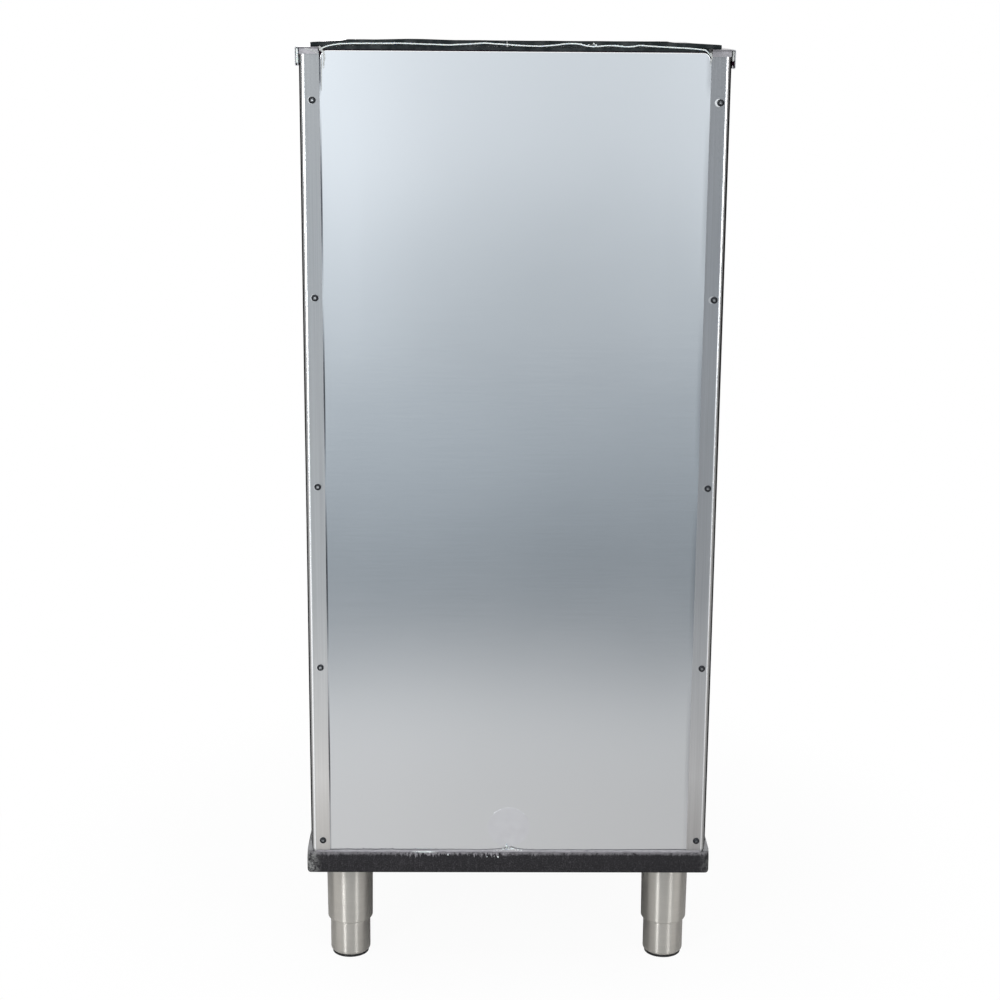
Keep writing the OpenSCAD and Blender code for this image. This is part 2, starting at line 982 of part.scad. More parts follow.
// Adjustable foot: a closed sleeve with a threaded stem
module foot() {
    color(steel) {
        rotate_extrude() {
            translate([0, pad_t])
                square([foot_r - foot_edge_r, foot_t]);
            translate([foot_r - foot_t, pad_t + foot_edge_r])
                square([foot_t, z_foot_top - pad_t - foot_edge_r]);
            translate([foot_r - foot_edge_r, pad_t + foot_edge_r])
                intersection() {
                    difference() {
                        circle(foot_edge_r);
                        circle(foot_edge_r - foot_t);
                    }
                    translate([0, -foot_edge_r])
                        square(foot_edge_r);
                }
        }
        upright(pad_t + foot_t / 2, z_stem_top)
            circle(stem_r);
    }
}

module foot_rear_left() {
    translate([-leg_x, leg_y_rear, 0])
        foot();
}

module foot_rear_right() {
    translate([leg_x, leg_y_rear, 0])
        foot();
}

module foot_front_left() {
    translate([-leg_x, leg_y_front, 0])
        foot();
}

module foot_front_right() {
    translate([leg_x, leg_y_front, 0])
        foot();
}

// Black pad under a foot
module pad() {
    color(black)
        cylinder(r = foot_r - 0.5 * foot_edge_r, h = pad_t);
}

module pad_rear_left() {
    translate([-leg_x, leg_y_rear, 0])
        pad();
}

module pad_rear_right() {
    translate([leg_x, leg_y_rear, 0])
        pad();
}

module pad_front_left() {
    translate([-leg_x, leg_y_front, 0])
        pad();
}

module pad_front_right() {
    translate([leg_x, leg_y_front, 0])
        pad();
}

// Rise of the rear seal above the top, at a distance from the centre
function crown(x) = abs(x) >= seal_half ? 0 : seal_rise * (1 - pow(abs(x) / seal_half, 4));

// Front view of a band that follows the crown, between two heights above it
module crowned_band(x0, x1, low, high) {
    steps = 20;
    xs = [for (i = [0 : steps]) x0 + (x1 - x0) * i / steps];
    polygon(concat(
        [for (x = xs) [x, low + crown(x)]],
        [for (i = [0 : steps]) let (x = xs[steps - i]) [x, high + crown(x)]]
    ));
}

// Foam strip that closes the back of the rim, under the rear seal
module rear_seal_lower() {
    edge_y = y_back - rim_back + soft_gap;
    color(black)
        intersection() {
            along(y_back - seal_w, y_back - sheet_t - 0.5)
                polygon(concat(
                    [[seal_half, z_shell], [-seal_half, z_shell]],
                    [for (i = [-20 : 20]) let (x = seal_half * i / 20) [x, z_top + crown(x)]]
                ));
            across(-half_w, half_w)
                polygon([
                    [y_back, z_shell + soft_gap],
                    [y_back, z_top + body_margin],
                    [y_back - seal_w - 1, z_top + body_margin],
                    [y_back - seal_w - 1, z_rim + soft_gap],
                    [edge_y, z_rim + soft_gap],
                    [edge_y, z_shell + soft_gap]
                ]);
        }
}

// Rear seal, in two lengths that meet in a butt joint
module rear_seal(x0, x1) {
    color(black)
        along(y_back - seal_w, y_back - sheet_t)
            crowned_band(x0, x1, z_top + soft_gap, z_top + soft_gap + seal_t);
}

module rear_seal_left() {
    rear_seal(-seal_end, seal_joint_x - 0.3);
}

module rear_seal_right() {
    rear_seal(seal_joint_x + 0.3, seal_end);
}

// White adhesive bead along the joint of the two rear seals
module rear_bead() {
    color(white)
        along(y_back - sheet_t + soft_gap, y_back - sheet_t + soft_gap + bead_t)
            crowned_band(1 - seal_half, seal_half - 1, z_top - bead_h / 2, z_top + bead_h / 2);
}

// Seal strip on the rim beside the right hand trim
module side_strip() {
    color(black)
        translate([trim_in - 1 - strip_w, y_deck + front_fold + 2, z_rim + soft_gap])
            cube([strip_w, top_d - front_fold - seal_w - 3, strip_t]);
}

module side_seal_right() {
    side_strip();
}

module side_seal_left() {
    on_left()
        side_strip();
}

// Seal strip on the rim behind the top front trim
module front_seal() {
    half = trim_in - 2 - strip_w;
    color(black)
        translate([-half, y_deck + front_fold + 2, z_rim + soft_gap])
            cube([2 * half, strip_w, strip_t]);
}

// Grey sealant in the corner above the back rim
module base_sealant() {
    half = half_w - bend_r;
    low = z_base + rim_back_h + soft_gap;
    color(grey)
        across(-half, half)
            polygon([
                [y_back + soft_gap, low],
                [y_back + base_proud - base_draft - 1, low],
                [y_back + soft_gap, low + 3.5]
            ]);
}

module rear_screws() {
    color(black)
        at_rear_screws()
            pan_screw(rear_shank_l);
}

// Places something at every bezel screw, with Z pointing out of the bezel
module at_bezel_screws() {
    for (x = [-bezel_screw_x, bezel_screw_x])
        for (down = [opening_down + bezel_screw_down, slope_l / 2, slope_l - bezel_screw_end])
            on_slope()
                translate([x, -bezel_t, -down])
                    rotate([90, 0, 0])
                        children();
}

module bezel_screws() {
    color(black)
        at_bezel_screws()
            pan_screw(bezel_shank_l);
}

// Black moulded frame of the door opening, with a sealing lip and a throat
module bezel() {
    color(black)
        difference() {
            union() {
                on_slope()
                    along(-bezel_t, 0)
                        rounded_box(-half_w, 1 - slope_l, half_w, -1, 10);
                opening_prism(lip_w, -bezel_t - lip_h, -bezel_t / 2);
                opening_prism(throat_t, -1, liner_slope + liner_t);
            }
            opening_prism(0, -bezel_t - lip_h - 1, liner_slope + liner_t + 1);
            at_bezel_screws()
                shank_hole(bezel_t + 1);
            at_hinge_screws()
                shank_hole(bracket_foot_t + bezel_t + 1);
        }
}

// Door solid, set in from its outer surface: rounded ends and a crowned face
module door_shape(inset) {
    top = door_t / 2 - hinge_down - inset;
    low = inset - door_end;
    face = inset - door_front - door_crown;
    half = door_w / 2 - inset;
    on_slope()
        intersection() {
            across(-half, half)
                rounded_box(face, low, -door_back - inset, top, door_t / 2 - inset);
            along(face - 1, inset)
                rounded_box(-half, low, half, top, door_corner_r - inset);
            translate([0, crown_r - door_front - door_crown, 0])
                upright(-slope_l, 0)
                    circle(crown_r - inset, $fn = 720);
        }
}

// Back plate of the door liner as a prism, set in from the shell's wall
module door_back_plate(inset, y0, y1) {
    edge = door_w / 2 - door_wall - inset;
    on_slope()
        along(y0, y1)
            rounded_box(-edge, door_wall + inset - door_end, edge,
                -hinge_down - door_t / 3 - inset, door_corner_r - door_wall);
}

// Places something on the hinge axis at both ends of the door, with Z pointing outwards
module at_hinges() {
    both_sides()
        on_slope()
            translate([0, -hinge_out, -hinge_down])
                rotate([0, 90, 0])
                    children();
}

// Outer shell of the door, open at the back, with a boss for each hinge bush
module door_shell() {
    color(grey)
        difference() {
            union() {
                difference() {
                    door_shape(0);
                    door_shape(door_wall);
                    door_back_plate(0, -door_back - door_wall - 1, 1 - door_back);
                }
                at_hinges()
                    translate([0, 0, door_w / 2 - bush_l - door_wall])
                        cylinder(r = bush_r + door_wall, h = bush_l + door_wall - 1);
            }
            at_hinges()
                translate([0, 0, door_w / 2 - bush_l])
                    cylinder(r = bush_r + fit_gap, h = bush_l + 1);
            at_handle_screws()
                shank_hole(20);
        }
}

// Inner liner of the door, with a hollow plug that enters the opening
module door_liner() {
    color(white)
        difference() {
            union() {
                door_back_plate(soft_gap, -door_back - door_wall, -door_back);
                opening_prism(-plug_gap, -door_back - 1, plug_in);
            }
            opening_prism(-plug_gap - door_wall, -door_back - door_wall - 1, plug_in - door_wall);
        }
}

// Foam core of the door
module door_foam() {
    face = -door_back - door_wall - foam_gap;
    color(foam_tint)
        difference() {
            union() {
                difference() {
                    door_shape(door_wall + foam_gap);
                    door_back_plate(-foam_gap, face, 0);
                }
                opening_prism(-plug_gap - door_wall - foam_gap, face - 5,
                    plug_in - door_wall - foam_gap);
            }
            at_hinges()
                translate([0, 0, door_w / 2 - bush_l - door_wall - foam_gap])
                    cylinder(r = bush_r + door_wall + foam_gap, h = bush_l + door_wall);
            at_handle_screws()
                translate([0, 0, -1])
                    cylinder(r = screw_head_r + foam_gap, h = screw_head_h + 2);
        }
}

// Gasket around the back of the door
module door_gasket() {
    y0 = -door_back + soft_gap;
    y1 = -bezel_t - lip_h - soft_gap;
    color(black)
        difference() {
            opening_prism(lip_w - 1, y0, y1);
            opening_prism(1, y0 - 1, y1 + 1);
        }
}

// Pull handle with a finger space that opens downwards
module door_handle() {
    half = handle_w / 2;
    low = handle_up - door_end;
    high = low + handle_l;
    out = handle_face + handle_out;
    color(black)
        on_slope()
            difference() {
                across(-half, half) {
                    // mounting face
                    translate([-handle_face - handle_base_t, low])
                        square([handle_base_t + door_crown, handle_l]);
                    // shelf and rounded corner
                    translate([handle_t - out, high - handle_t])
                        square([handle_out - handle_t + 1, handle_t]);
                    translate([handle_t - out, high - handle_t])
                        intersection() {
                            circle(handle_t);
                            translate([-handle_t, 0])
                                square(handle_t);
                        }
                    // lip with its round nose
                    translate([-out, -nose_down])
                        square([handle_t, high - handle_t + nose_down]);
                    translate([-nose_out, -nose_down])
                        circle(handle_t / 2);
                }
                translate([0, crown_r - handle_face, 0])
                    upright(-slope_l, 0)
                        circle(crown_r + shank_gap, $fn = 720);
                at_handle_screws_local()
                    shank_hole(20);
            }
}

// Places something at both handle screws, with Z pointing into the door
module at_handle_screws_local() {
    for (x = [-handle_screw_x, handle_screw_x])
        translate([
            x,
            door_wall - handle_face + crown_r - sqrt(pow(crown_r, 2) - pow(x, 2)) + 0.2,
            handle_up + handle_l / 2 - door_end
        ])
            rotate([-90, 0, 0])
                children();
}

module at_handle_screws() {
    on_slope()
        at_handle_screws_local()
            children();
}

module handle_screws() {
    color(steel)
        at_handle_screws()
            pan_screw(door_wall + handle_base_t);
}

// Steel bracket beside each end of the door
module hinge_brackets() {
    x0 = door_w / 2 + bracket_gap;
    lug_r = pin_r + 7;
    color(steel)
        both_sides()
            on_slope() {
                across(x0, x0 + bracket_t)
                    difference() {
                        union() {
                            polygon([
                                [-bezel_t, -hinge_down - bracket_l / 2],
                                [-bezel_t, bracket_l / 2 - hinge_down],
                                [-hinge_out, lug_r - hinge_down],
                                [-hinge_out, -hinge_down - lug_r]
                            ]);
                            translate([-hinge_out, -hinge_down])
                                circle(lug_r);
                        }
                        translate([-hinge_out, -hinge_down])
                            circle(pin_r + fit_gap);
                    }
                difference() {
                    along(-bezel_t - bracket_foot_t, -bezel_t)
                        translate([x0, -hinge_down - bracket_l / 2])
                            square([bracket_w, bracket_l]);
                    at_hinge_screws_local()
                        shank_hole(bracket_foot_t + 2);
                }
            }
}

// Places something at the screws of the right hand bracket, with Z pointing outwards
module at_hinge_screws_local() {
    for (side = [-1, 1])
        translate([
            door_w / 2 + bracket_gap + (bracket_t + bracket_w) / 2,
            -bezel_t - bracket_foot_t,
            side * bracket_l / 4 - hinge_down
        ])
            rotate([90, 0, 0])
                children();
}

module at_hinge_screws() {
    both_sides()
        on_slope()
            at_hinge_screws_local()
                children();
}

module hinge_screws() {
    color(black)
        at_hinge_screws()
            pan_screw(bracket_foot_t + bezel_t - 0.5);
}

// Hinge pins with a head outside each bracket
module hinge_pins() {
    seat = door_w / 2 + bracket_gap + bracket_t;
    color(steel)
        at_hinges() {
            translate([0, 0, door_w / 2 - pin_l])
                cylinder(r = pin_r, h = seat - door_w / 2 + pin_l + 1);
            translate([0, 0, seat])
                cylinder(r = pin_r + 3, h = 2.5);
        }
}

// Flanged bushes in the ends of the door
module hinge_bushes() {
    color(white)
        at_hinges()
            difference() {
                union() {
                    translate([0, 0, door_w / 2 - bush_l])
                        cylinder(r = bush_r, h = bush_l);
                    translate([0, 0, door_w / 2])
                        cylinder(r = bush_r + 2, h = bracket_gap / 2);
                }
                translate([0, 0, door_w / 2 - bush_l - 1])
                    cylinder(r = pin_r + fit_gap, h = bush_l + bracket_gap + 2);
            }
}

// Ice baffle: a panel with two ears on the pivots and a folded lower edge
module baffle() {
    front = 2 - ear_r;
    color(white)
        translate([0, y_pivot, z_pivot])
            rotate([baffle_hang, 0, 0]) {
                translate([-baffle_x, front, -baffle_h])
                    cube([2 * baffle_x, baffle_t, baffle_h + ear_r]);
                translate([-baffle_x, front, -baffle_h])
                    cube([2 * baffle_x, baffle_fold, baffle_t]);
                both_sides()
                    across(baffle_x - baffle_t, baffle_x)
                        difference() {
                            union() {
                                circle(ear_r);
                                translate([front, -3 * ear_r])
                                    square([-front, 4 * ear_r]);
                            }
                            circle(pivot_r + fit_gap);
                        }
            }
}

// Pivot pins through the side walls of the liner
module baffle_pins() {
    color(steel)
        at_pivots() {
            translate([0, 0, baffle_x - baffle_t - 6])
                cylinder(r = pivot_r, h = liner_x - baffle_x + baffle_t + 6);
            translate([0, 0, liner_x])
                cylinder(r = pivot_r + 4, h = 3);
        }
}

// Drain fitting: a flange in the liner floor and a threaded outlet below the base
module drain_fitting() {
    flange_z = z_floor + liner_t - drain_flange_t;
    low = z_base - drain_drop;
    color(black)
        at_drain()
            difference() {
                union() {
                    upright(flange_z, flange_z + drain_flange_t)
                        circle(drain_flange_r);
                    upright(low, flange_z + 1)
                        circle(drain_body_r);
                }
                upright(low - 1, low + outlet_l)
                    circle(drain_r);
                upright(low, z_floor + body_margin)
                    circle(drain_r - 2);
                upright(z_floor + liner_t - strainer_t, z_floor + body_margin)
                    circle(strainer_r + 0.2);
            }
}

module drain_washer() {
    color(black)
        at_drain()
            upright(z_base - washer_t, z_base)
                difference() {
                    circle(drain_body_r + 8);
                    circle(drain_body_r + shank_gap);
                }
}

module drain_nut() {
    top = z_base - washer_t;
    color(black)
        at_drain()
            difference() {
                translate([0, 0, top - drain_nut_h])
                    cylinder(r = drain_body_r + 10, h = drain_nut_h, $fn = 6);
                upright(top - drain_nut_h - 1, top + 1)
                    circle(drain_body_r + shank_gap);
            }
}

// Perforated strainer set in the drain flange
module drain_strainer() {
    color(steel)
        at_drain()
            upright(z_floor + liner_t - strainer_t, z_floor + liner_t)
                difference() {
                    circle(strainer_r);
                    circle(2);
                    for (i = [0 : 5])
                        rotate(60 * i)
                            translate([0.6 * strainer_r, 0])
                                circle(2);
                }
}

back_panel();
side_panel_left();
side_panel_right();
front_panel();
top_front_trim();
top_trim_left();
top_trim_right();
liner();
insulation();
base();
leg_sockets();
leg_rear_left();
leg_rear_right();
leg_front_left();
leg_front_right();
leg_guides();
foot_rear_left();
foot_rear_right();
foot_front_left();
foot_front_right();
pad_rear_left();
pad_rear_right();
pad_front_left();
pad_front_right();
rear_seal_lower();
rear_seal_left();
rear_seal_right();
rear_bead();
base_sealant();
side_seal_left();
side_seal_right();
front_seal();
rear_screws();
fill_cover();
bezel();
bezel_screws();
door_shell();
door_liner();
door_foam();
door_gasket();
door_handle();
handle_screws();
hinge_brackets();
hinge_pins();
hinge_bushes();
hinge_screws();
baffle();
baffle_pins();
drain_fitting();
drain_washer();
drain_nut();
drain_strainer();
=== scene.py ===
"""Ice storage bin seen from the back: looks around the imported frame."""
import math

import bpy
import numpy as np
from mathutils import Matrix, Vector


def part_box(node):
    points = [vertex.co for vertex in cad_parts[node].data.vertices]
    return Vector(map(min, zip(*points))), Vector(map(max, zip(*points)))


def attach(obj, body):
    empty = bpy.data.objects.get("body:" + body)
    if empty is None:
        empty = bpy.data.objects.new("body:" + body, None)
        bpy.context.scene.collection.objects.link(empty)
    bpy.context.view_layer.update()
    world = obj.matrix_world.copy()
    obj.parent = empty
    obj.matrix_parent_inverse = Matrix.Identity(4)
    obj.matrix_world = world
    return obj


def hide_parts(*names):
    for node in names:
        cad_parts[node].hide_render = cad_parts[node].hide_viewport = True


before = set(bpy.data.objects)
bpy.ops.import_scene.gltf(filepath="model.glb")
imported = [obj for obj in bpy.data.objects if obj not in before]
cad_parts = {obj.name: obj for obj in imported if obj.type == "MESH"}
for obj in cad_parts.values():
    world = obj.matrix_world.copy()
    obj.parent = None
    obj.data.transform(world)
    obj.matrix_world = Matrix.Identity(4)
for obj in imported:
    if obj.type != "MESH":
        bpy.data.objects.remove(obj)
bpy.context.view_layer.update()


# Camera. A short telephoto stands behind the bin at the height of its top and looks a little
# down at it. Its place and angles were fitted to the edges, screws and legs of the photograph.
def unit(vectors):
    """The same directions with length 1: each vector over its own norm."""
    return vectors / np.linalg.norm(vectors, axis=-1, keepdims=True)


def set_up(name, data, place, side, over, back):
    """An object at a place, with its own X, Y and Z along the three given directions."""
    thing = bpy.data.objects.new(name, data)
    rows = [[side[k], over[k], back[k], place[k]] for k in range(3)]
    thing.matrix_world = Matrix(rows + [[0, 0, 0, 1]])
    bpy.context.scene.collection.objects.link(thing)
    return thing


eye = (0.05296, 2.9906, 1.3165)
yaw, pitch, roll = 0.0145716, 0.2412468, 0.0076403
lens_mm, film_mm, sight_m = 71.698, 36.0, 60

forward = np.array([-math.sin(yaw) * math.cos(pitch), -math.cos(yaw) * math.cos(pitch),
                    -math.sin(pitch)])
level = np.array([-math.cos(yaw), math.sin(yaw), 0.0])
upward = np.cross(level, forward)
right = math.cos(roll) * level + math.sin(roll) * upward
top = math.cos(roll) * upward - math.sin(roll) * level
lens = bpy.data.cameras.new("camera")
lens.lens, lens.sensor_width, lens.clip_end = lens_mm, film_mm, sight_m
bpy.context.scene.camera = set_up("camera", lens, eye, right, top, -forward)


# Shader sums. Every finish below is written as a formula on these wires, which add the Math,
# Mix and texture nodes that the formula needs.
class Wire:
    """An output socket in a node tree. Sums, differences, products and powers add Math nodes."""

    def __init__(self, tree, socket):
        self.tree, self.socket = tree, socket

    def calc(self, operation, *values):
        """One Math node with that operation on the given values or wires."""
        return add_node(self.tree, "ShaderNodeMath", {"operation": operation},
                        dict(enumerate(values)))

    def at_most(self, limit):
        """The lower of this and a limit."""
        return self.calc("MINIMUM", self, limit)

    def __add__(self, other):
        return self.calc("ADD", self, other)

    def __sub__(self, other):
        return self.calc("SUBTRACT", self, other)

    def __rsub__(self, other):
        return self.calc("SUBTRACT", other, self)

    def __mul__(self, other):
        return self.calc("MULTIPLY", self, other)

    def __truediv__(self, other):
        return self.calc("DIVIDE", self, other)

    def __pow__(self, other):
        return self.calc("POWER", self, other)

    def __abs__(self):
        return self.calc("ABSOLUTE", self)

    def step(self, low, high):
        """0 below low, 1 above high, and smooth between."""
        return add_node(self.tree, "ShaderNodeMapRange", {"interpolation_type": "SMOOTHSTEP"},
                        {0: self, 1: low, 2: high, 3: 0.0, 4: 1.0})


def add_node(tree, kind, settings=None, values=None, out=0):
    """Adds one node: its settings first, then numbers, colours or wires for its sockets.
    The setting stops fills a colour ramp with (place, colour) pairs."""
    node = tree.nodes.new(kind)
    for key, value in (settings or {}).items():
        if key == "stops":
            ramp = node.color_ramp
            while len(ramp.elements) < len(value):
                ramp.elements.new(1.0)
            for element, (place, colour) in zip(ramp.elements, value):
                element.position, element.color = place, (*colour, 1.0)
        else:
            setattr(node, key, value)
    for key, value in (values or {}).items():
        if isinstance(value, Wire):
            tree.links.new(value.socket, node.inputs[key])
        else:
            node.inputs[key].default_value = value
    return Wire(tree, node.outputs[out])


class Finish:
    """A material and the formulas that its surface is made of, on the object's own coordinates."""

    def __init__(self, name, **plain):
        self.material = bpy.data.materials.new(name)
        self.material.use_nodes = True
        self.tree = self.material.node_tree
        self.shader = self.tree.nodes["Principled BSDF"]
        self.place = add_node(self.tree, "ShaderNodeTexCoord", out=3)
        self.set(**plain)

    def set(self, **values):
        """Puts numbers, colours or wires on the shader's sockets, named with underscores."""
        for key, value in values.items():
            socket = self.shader.inputs[key.replace("_", " ").title().replace("Ior", "IOR")]
            if isinstance(value, Wire):
                self.tree.links.new(value.socket, socket)
            elif socket.type == "RGBA":
                socket.default_value = (*value, 1.0)
            else:
                socket.default_value = value

    def axis(self, index):
        """One of the object's own coordinates, in metres."""
        return add_node(self.tree, "ShaderNodeSeparateXYZ", values={0: self.place}, out=index)

    def stretched(self, x, y, z):
        """The object's coordinates, each multiplied: a pattern gets finer along that axis."""
        return add_node(self.tree, "ShaderNodeMapping", values={0: self.place, 3: (x, y, z)})

    def noise(self, size, detail=2.0, roughness=0.5, distortion=0.0, where=None):
        """Cloudy pattern from 0 to 1 with size features to the metre."""
        return add_node(self.tree, "ShaderNodeTexNoise", values={
            0: where or self.place, 2: size, 3: detail, 4: roughness, "Distortion": distortion})

    def cells(self, size, feature="F1"):
        """Distance to the nearest of scattered points, about size of them to the metre."""
        return add_node(self.tree, "ShaderNodeTexVoronoi", {"feature": feature},
                        {0: self.place, 2: size})

    def mix(self, factor, a, b, blend="MIX"):
        """Colour a where the factor is 0 and colour b where it is 1."""
        values = {0: factor}
        for key, colour in ((6, a), (7, b)):
            values[key] = colour if isinstance(colour, Wire) else (*colour, 1.0)
        return add_node(self.tree, "ShaderNodeMix", {"data_type": "RGBA", "blend_type": blend},
                        values, 2)

    def bump(self, height, distance, strength=1.0):
        """Feeds the normal with a height from 0 to 1 that stands for that distance in metres."""
        self.set(normal=add_node(self.tree, "ShaderNodeBump", values={
            "Strength": strength, "Distance": distance, "Height": height}))


def dress(finish, *names):
    """Gives the named CAD pieces that finish."""
    for name in names:
        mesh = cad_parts[name].data
        mesh.materials.clear()
        mesh.materials.append(finish.material)


# Studio. A white sweep without a horizon and four soft boxes. The metal also mirrors what only
# it sees: a shaded floor cloth and far card on the camera's side, and dark flags beside the bin.
def ray_kinds(tree):
    """Three wires: 1 for a ray from the camera, from a mirroring surface, through a clear one."""
    kinds = tree.nodes.new("ShaderNodeLightPath").outputs
    return [Wire(tree, kinds["Is %s Ray" % kind]) for kind in ("Camera", "Glossy", "Transmission")]


white_world = bpy.data.worlds.new("sweep")
bpy.context.scene.world = white_world
white_world.use_nodes = True
sky = white_world.node_tree
seen, mirrored, through = ray_kinds(sky)
light_level = 0.62
brightness = (seen + mirrored + through).at_most(1.0) * (1 - light_level) + light_level
backdrop = sky.nodes["Background"]
backdrop.inputs[0].default_value = (1.0, 1.0, 1.0, 1.0)
sky.links.new(brightness.socket, backdrop.inputs[1])


def plane(name, corners, material):
    """A flat four-sided piece of the studio, which isn't part of the bin."""
    mesh = bpy.data.meshes.new(name)
    mesh.from_pydata(corners, [], [range(4)])
    mesh.materials.append(material)
    piece = bpy.data.objects.new(name, mesh)
    bpy.context.scene.collection.objects.link(piece)
    return piece


sweep = Finish("sweep_white", roughness=0.9, specular_ior_level=0.1)
grain = sweep.noise(40.0, 3.0)
sweep.set(base_color=sweep.mix(grain * 0.05, (0.86, 0.86, 0.86), (0.78, 0.78, 0.78)))
seen, mirrored, through = ray_kinds(sweep.tree)
away = (sweep.axis(0) ** 2 + sweep.axis(1) ** 2) ** 0.5
shown = seen * (away.step(0.45, 0.85) * 0.05 + 0.95) + mirrored * away.step(0.3, 0.9) + through
glow = add_node(sweep.tree, "ShaderNodeEmission", values={0: (1.0, 1.0, 1.0, 1.0), 1: 1.0})
blend = add_node(sweep.tree, "ShaderNodeMixShader", values={
    0: shown.at_most(1.0), 1: Wire(sweep.tree, sweep.shader.outputs[0]), 2: glow})
sweep.tree.links.new(blend.socket, sweep.tree.nodes["Material Output"].inputs[0])
reach = 12.0
plane("floor", [(-reach, -reach, 0), (reach, -reach, 0), (reach, reach, 0), (-reach, reach, 0)],
      sweep.material)


def mirror_card(name, corners, material):
    """A card that only the metal sees: it lights nothing and throws no shadow."""
    card = plane(name, corners, material)
    for kind in ("camera", "diffuse", "shadow", "transmission"):
        setattr(card, "visible_" + kind, False)


card_strength = 1.6


def shaded_card(name, corners, axis, stops, lean):
    """A card that shines by itself. Its tone follows the stops (place in metres, tone, blueness)
    along one axis, times the lean stops along X."""
    card = Finish(name, base_color=(0, 0, 0), roughness=1.0, specular_ior_level=0.0,
                  emission_strength=card_strength)
    tones = []
    for index, table in ((axis, stops), (0, lean)):
        first, last = table[0][0], table[-1][0]
        ramp = [((place - first) / (last - first),
                 (tone * (1 - blue), tone, tone * (1 + 0.85 * blue)))
                for place, tone, blue in table]
        tones.append(add_node(card.tree, "ShaderNodeValToRGB", {"stops": ramp},
                              {0: (card.axis(index) - first) / (last - first)}))
    card.set(emission_color=card.mix(1.0, *tones, "MULTIPLY"))
    mirror_card(name, corners, card.material)


def leaning(*pairs):
    """Lean stops from (place, factor) pairs, scaled by the strength of the card."""
    return [(place, factor / card_strength, 0.0) for place, factor in pairs]


back_y, far, cloth_z = 0.417, 4.8, 0.004
near_y, far_y = back_y + 0.2, back_y + far
cloth = [(0.2, 0.70, 0.0), (0.6, 0.71, 0.01), (0.85, 0.73, 0.02), (1.1, 0.70, 0.03),
         (1.3, 0.55, 0.05), (1.5, 0.42, 0.08), (1.8, 0.375, 0.11), (2.25, 0.362, 0.12),
         (2.8, 0.45, 0.12), (3.45, 0.555, 0.11), (far, 0.555, 0.10)]
shaded_card("floor_cloth", [(-3, near_y, cloth_z), (3, near_y, cloth_z),
                            (4, far_y, cloth_z), (-4, far_y, cloth_z)],
            1, [(back_y + place, tone, blue) for place, tone, blue in cloth],
            leaning((-1.2, 0.88), (-0.4, 0.92), (-0.15, 0.97), (0.0, 1.0), (0.2, 1.07),
                    (0.4, 1.10), (1.2, 1.14)))
shaded_card("far_card", [(-5, far_y, 0.0), (5, far_y, 0.0), (5, far_y, 3.2), (-5, far_y, 3.2)],
            2, [(0.0, 0.545, 0.10), (0.2, 0.61, 0.09), (0.47, 0.735, 0.08), (0.7, 0.81, 0.075),
                (1.0, 0.92, 0.07), (3.2, 0.97, 0.05)],
            leaning((-1.2, 1.06), (-0.8, 1.04), (-0.6, 0.95), (-0.35, 0.93), (-0.1, 1.0),
                    (0.2, 1.03), (0.32, 1.12), (0.55, 1.30), (0.8, 1.42), (1.15, 1.0),
                    (2.0, 0.85)))
dark = Finish("black_flag", base_color=(0.03, 0.03, 0.032), roughness=1.0, specular_ior_level=0.0)
bright = Finish("bright_board", base_color=(0, 0, 0), roughness=1.0, specular_ior_level=0.0,
                emission_color=(1.0, 1.0, 1.0), emission_strength=1.05)
mat_z = 0.006
for side, turn_y in ((1, 0.5), (-1, 1.2)):
    mirror_card("side_flag_%d" % side, [
        (side * 3.3, turn_y, 0), (side * 1.5, -3.1, 0),
        (side * 1.5, -3.1, 2.6), (side * 3.3, turn_y, 2.6)], dark.material)
    mirror_card("side_mat_%d" % side, [
        (side * 0.62, -0.9, mat_z), (side * 3.3, -2.4, mat_z),
        (side * 3.3, 0.44, mat_z), (side * 0.62, 0.44, mat_z)], dark.material)
    mirror_card("side_board_%d" % side, [
        (side * 0.50, 0.50, mat_z), (side * 3.3, 0.50, mat_z),
        (side * 3.0, 3.0, mat_z), (side * 1.3, 3.0, mat_z)], bright.material)


def soft_box(name, place, aim, size, watts, colour=(1.0, 1.0, 1.0)):
    """A rectangular lamp that faces a point."""
    lamp = bpy.data.lights.new(name, "AREA")
    lamp.shape = "RECTANGLE"
    lamp.size, lamp.size_y = size
    lamp.energy, lamp.color = watts, colour
    back = unit(np.subtract(place, aim))
    side = unit(np.cross((0, 0, 1), back))
    set_up(name, lamp, place, side, np.cross(back, side), back)


soft_box("soft_box_left", (1.75, 3.1, 1.5), (0, 0.3, 0.6), (0.6, 2.2), 43.0, (0.96, 0.98, 1.0))
soft_box("soft_box_right", (-1.75, 3.1, 1.5), (0, 0.3, 0.6), (0.55, 2.2), 24.0, (0.98, 0.99, 1.0))
soft_box("soft_box_top", (0, 1.3, 3.3), (0, 0.3, 1.2), (2.4, 1.2), 12.0)
soft_box("soft_box_front", (0.8, -3.2, 2.4), (0, 0, 0.7), (2.0, 1.4), 40.0)


# Back panel. One sheet of galvanised steel, folded in along its top edge and clamped under the
# flanges of the sides. The foam behind it pushes it out a little between the screws.
def add_piece(name, points, faces, material, body):
    """A smooth piece from its points and faces, riding a body."""
    mesh = bpy.data.meshes.new(name)
    mesh.from_pydata(points.reshape(-1, 3).tolist(), [], faces)
    mesh.polygons.foreach_set("use_smooth", np.full(len(faces), True))
    mesh.materials.append(material)
    piece = bpy.data.objects.new(name, mesh)
    bpy.context.scene.collection.objects.link(piece)
    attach(piece, body)
    return piece


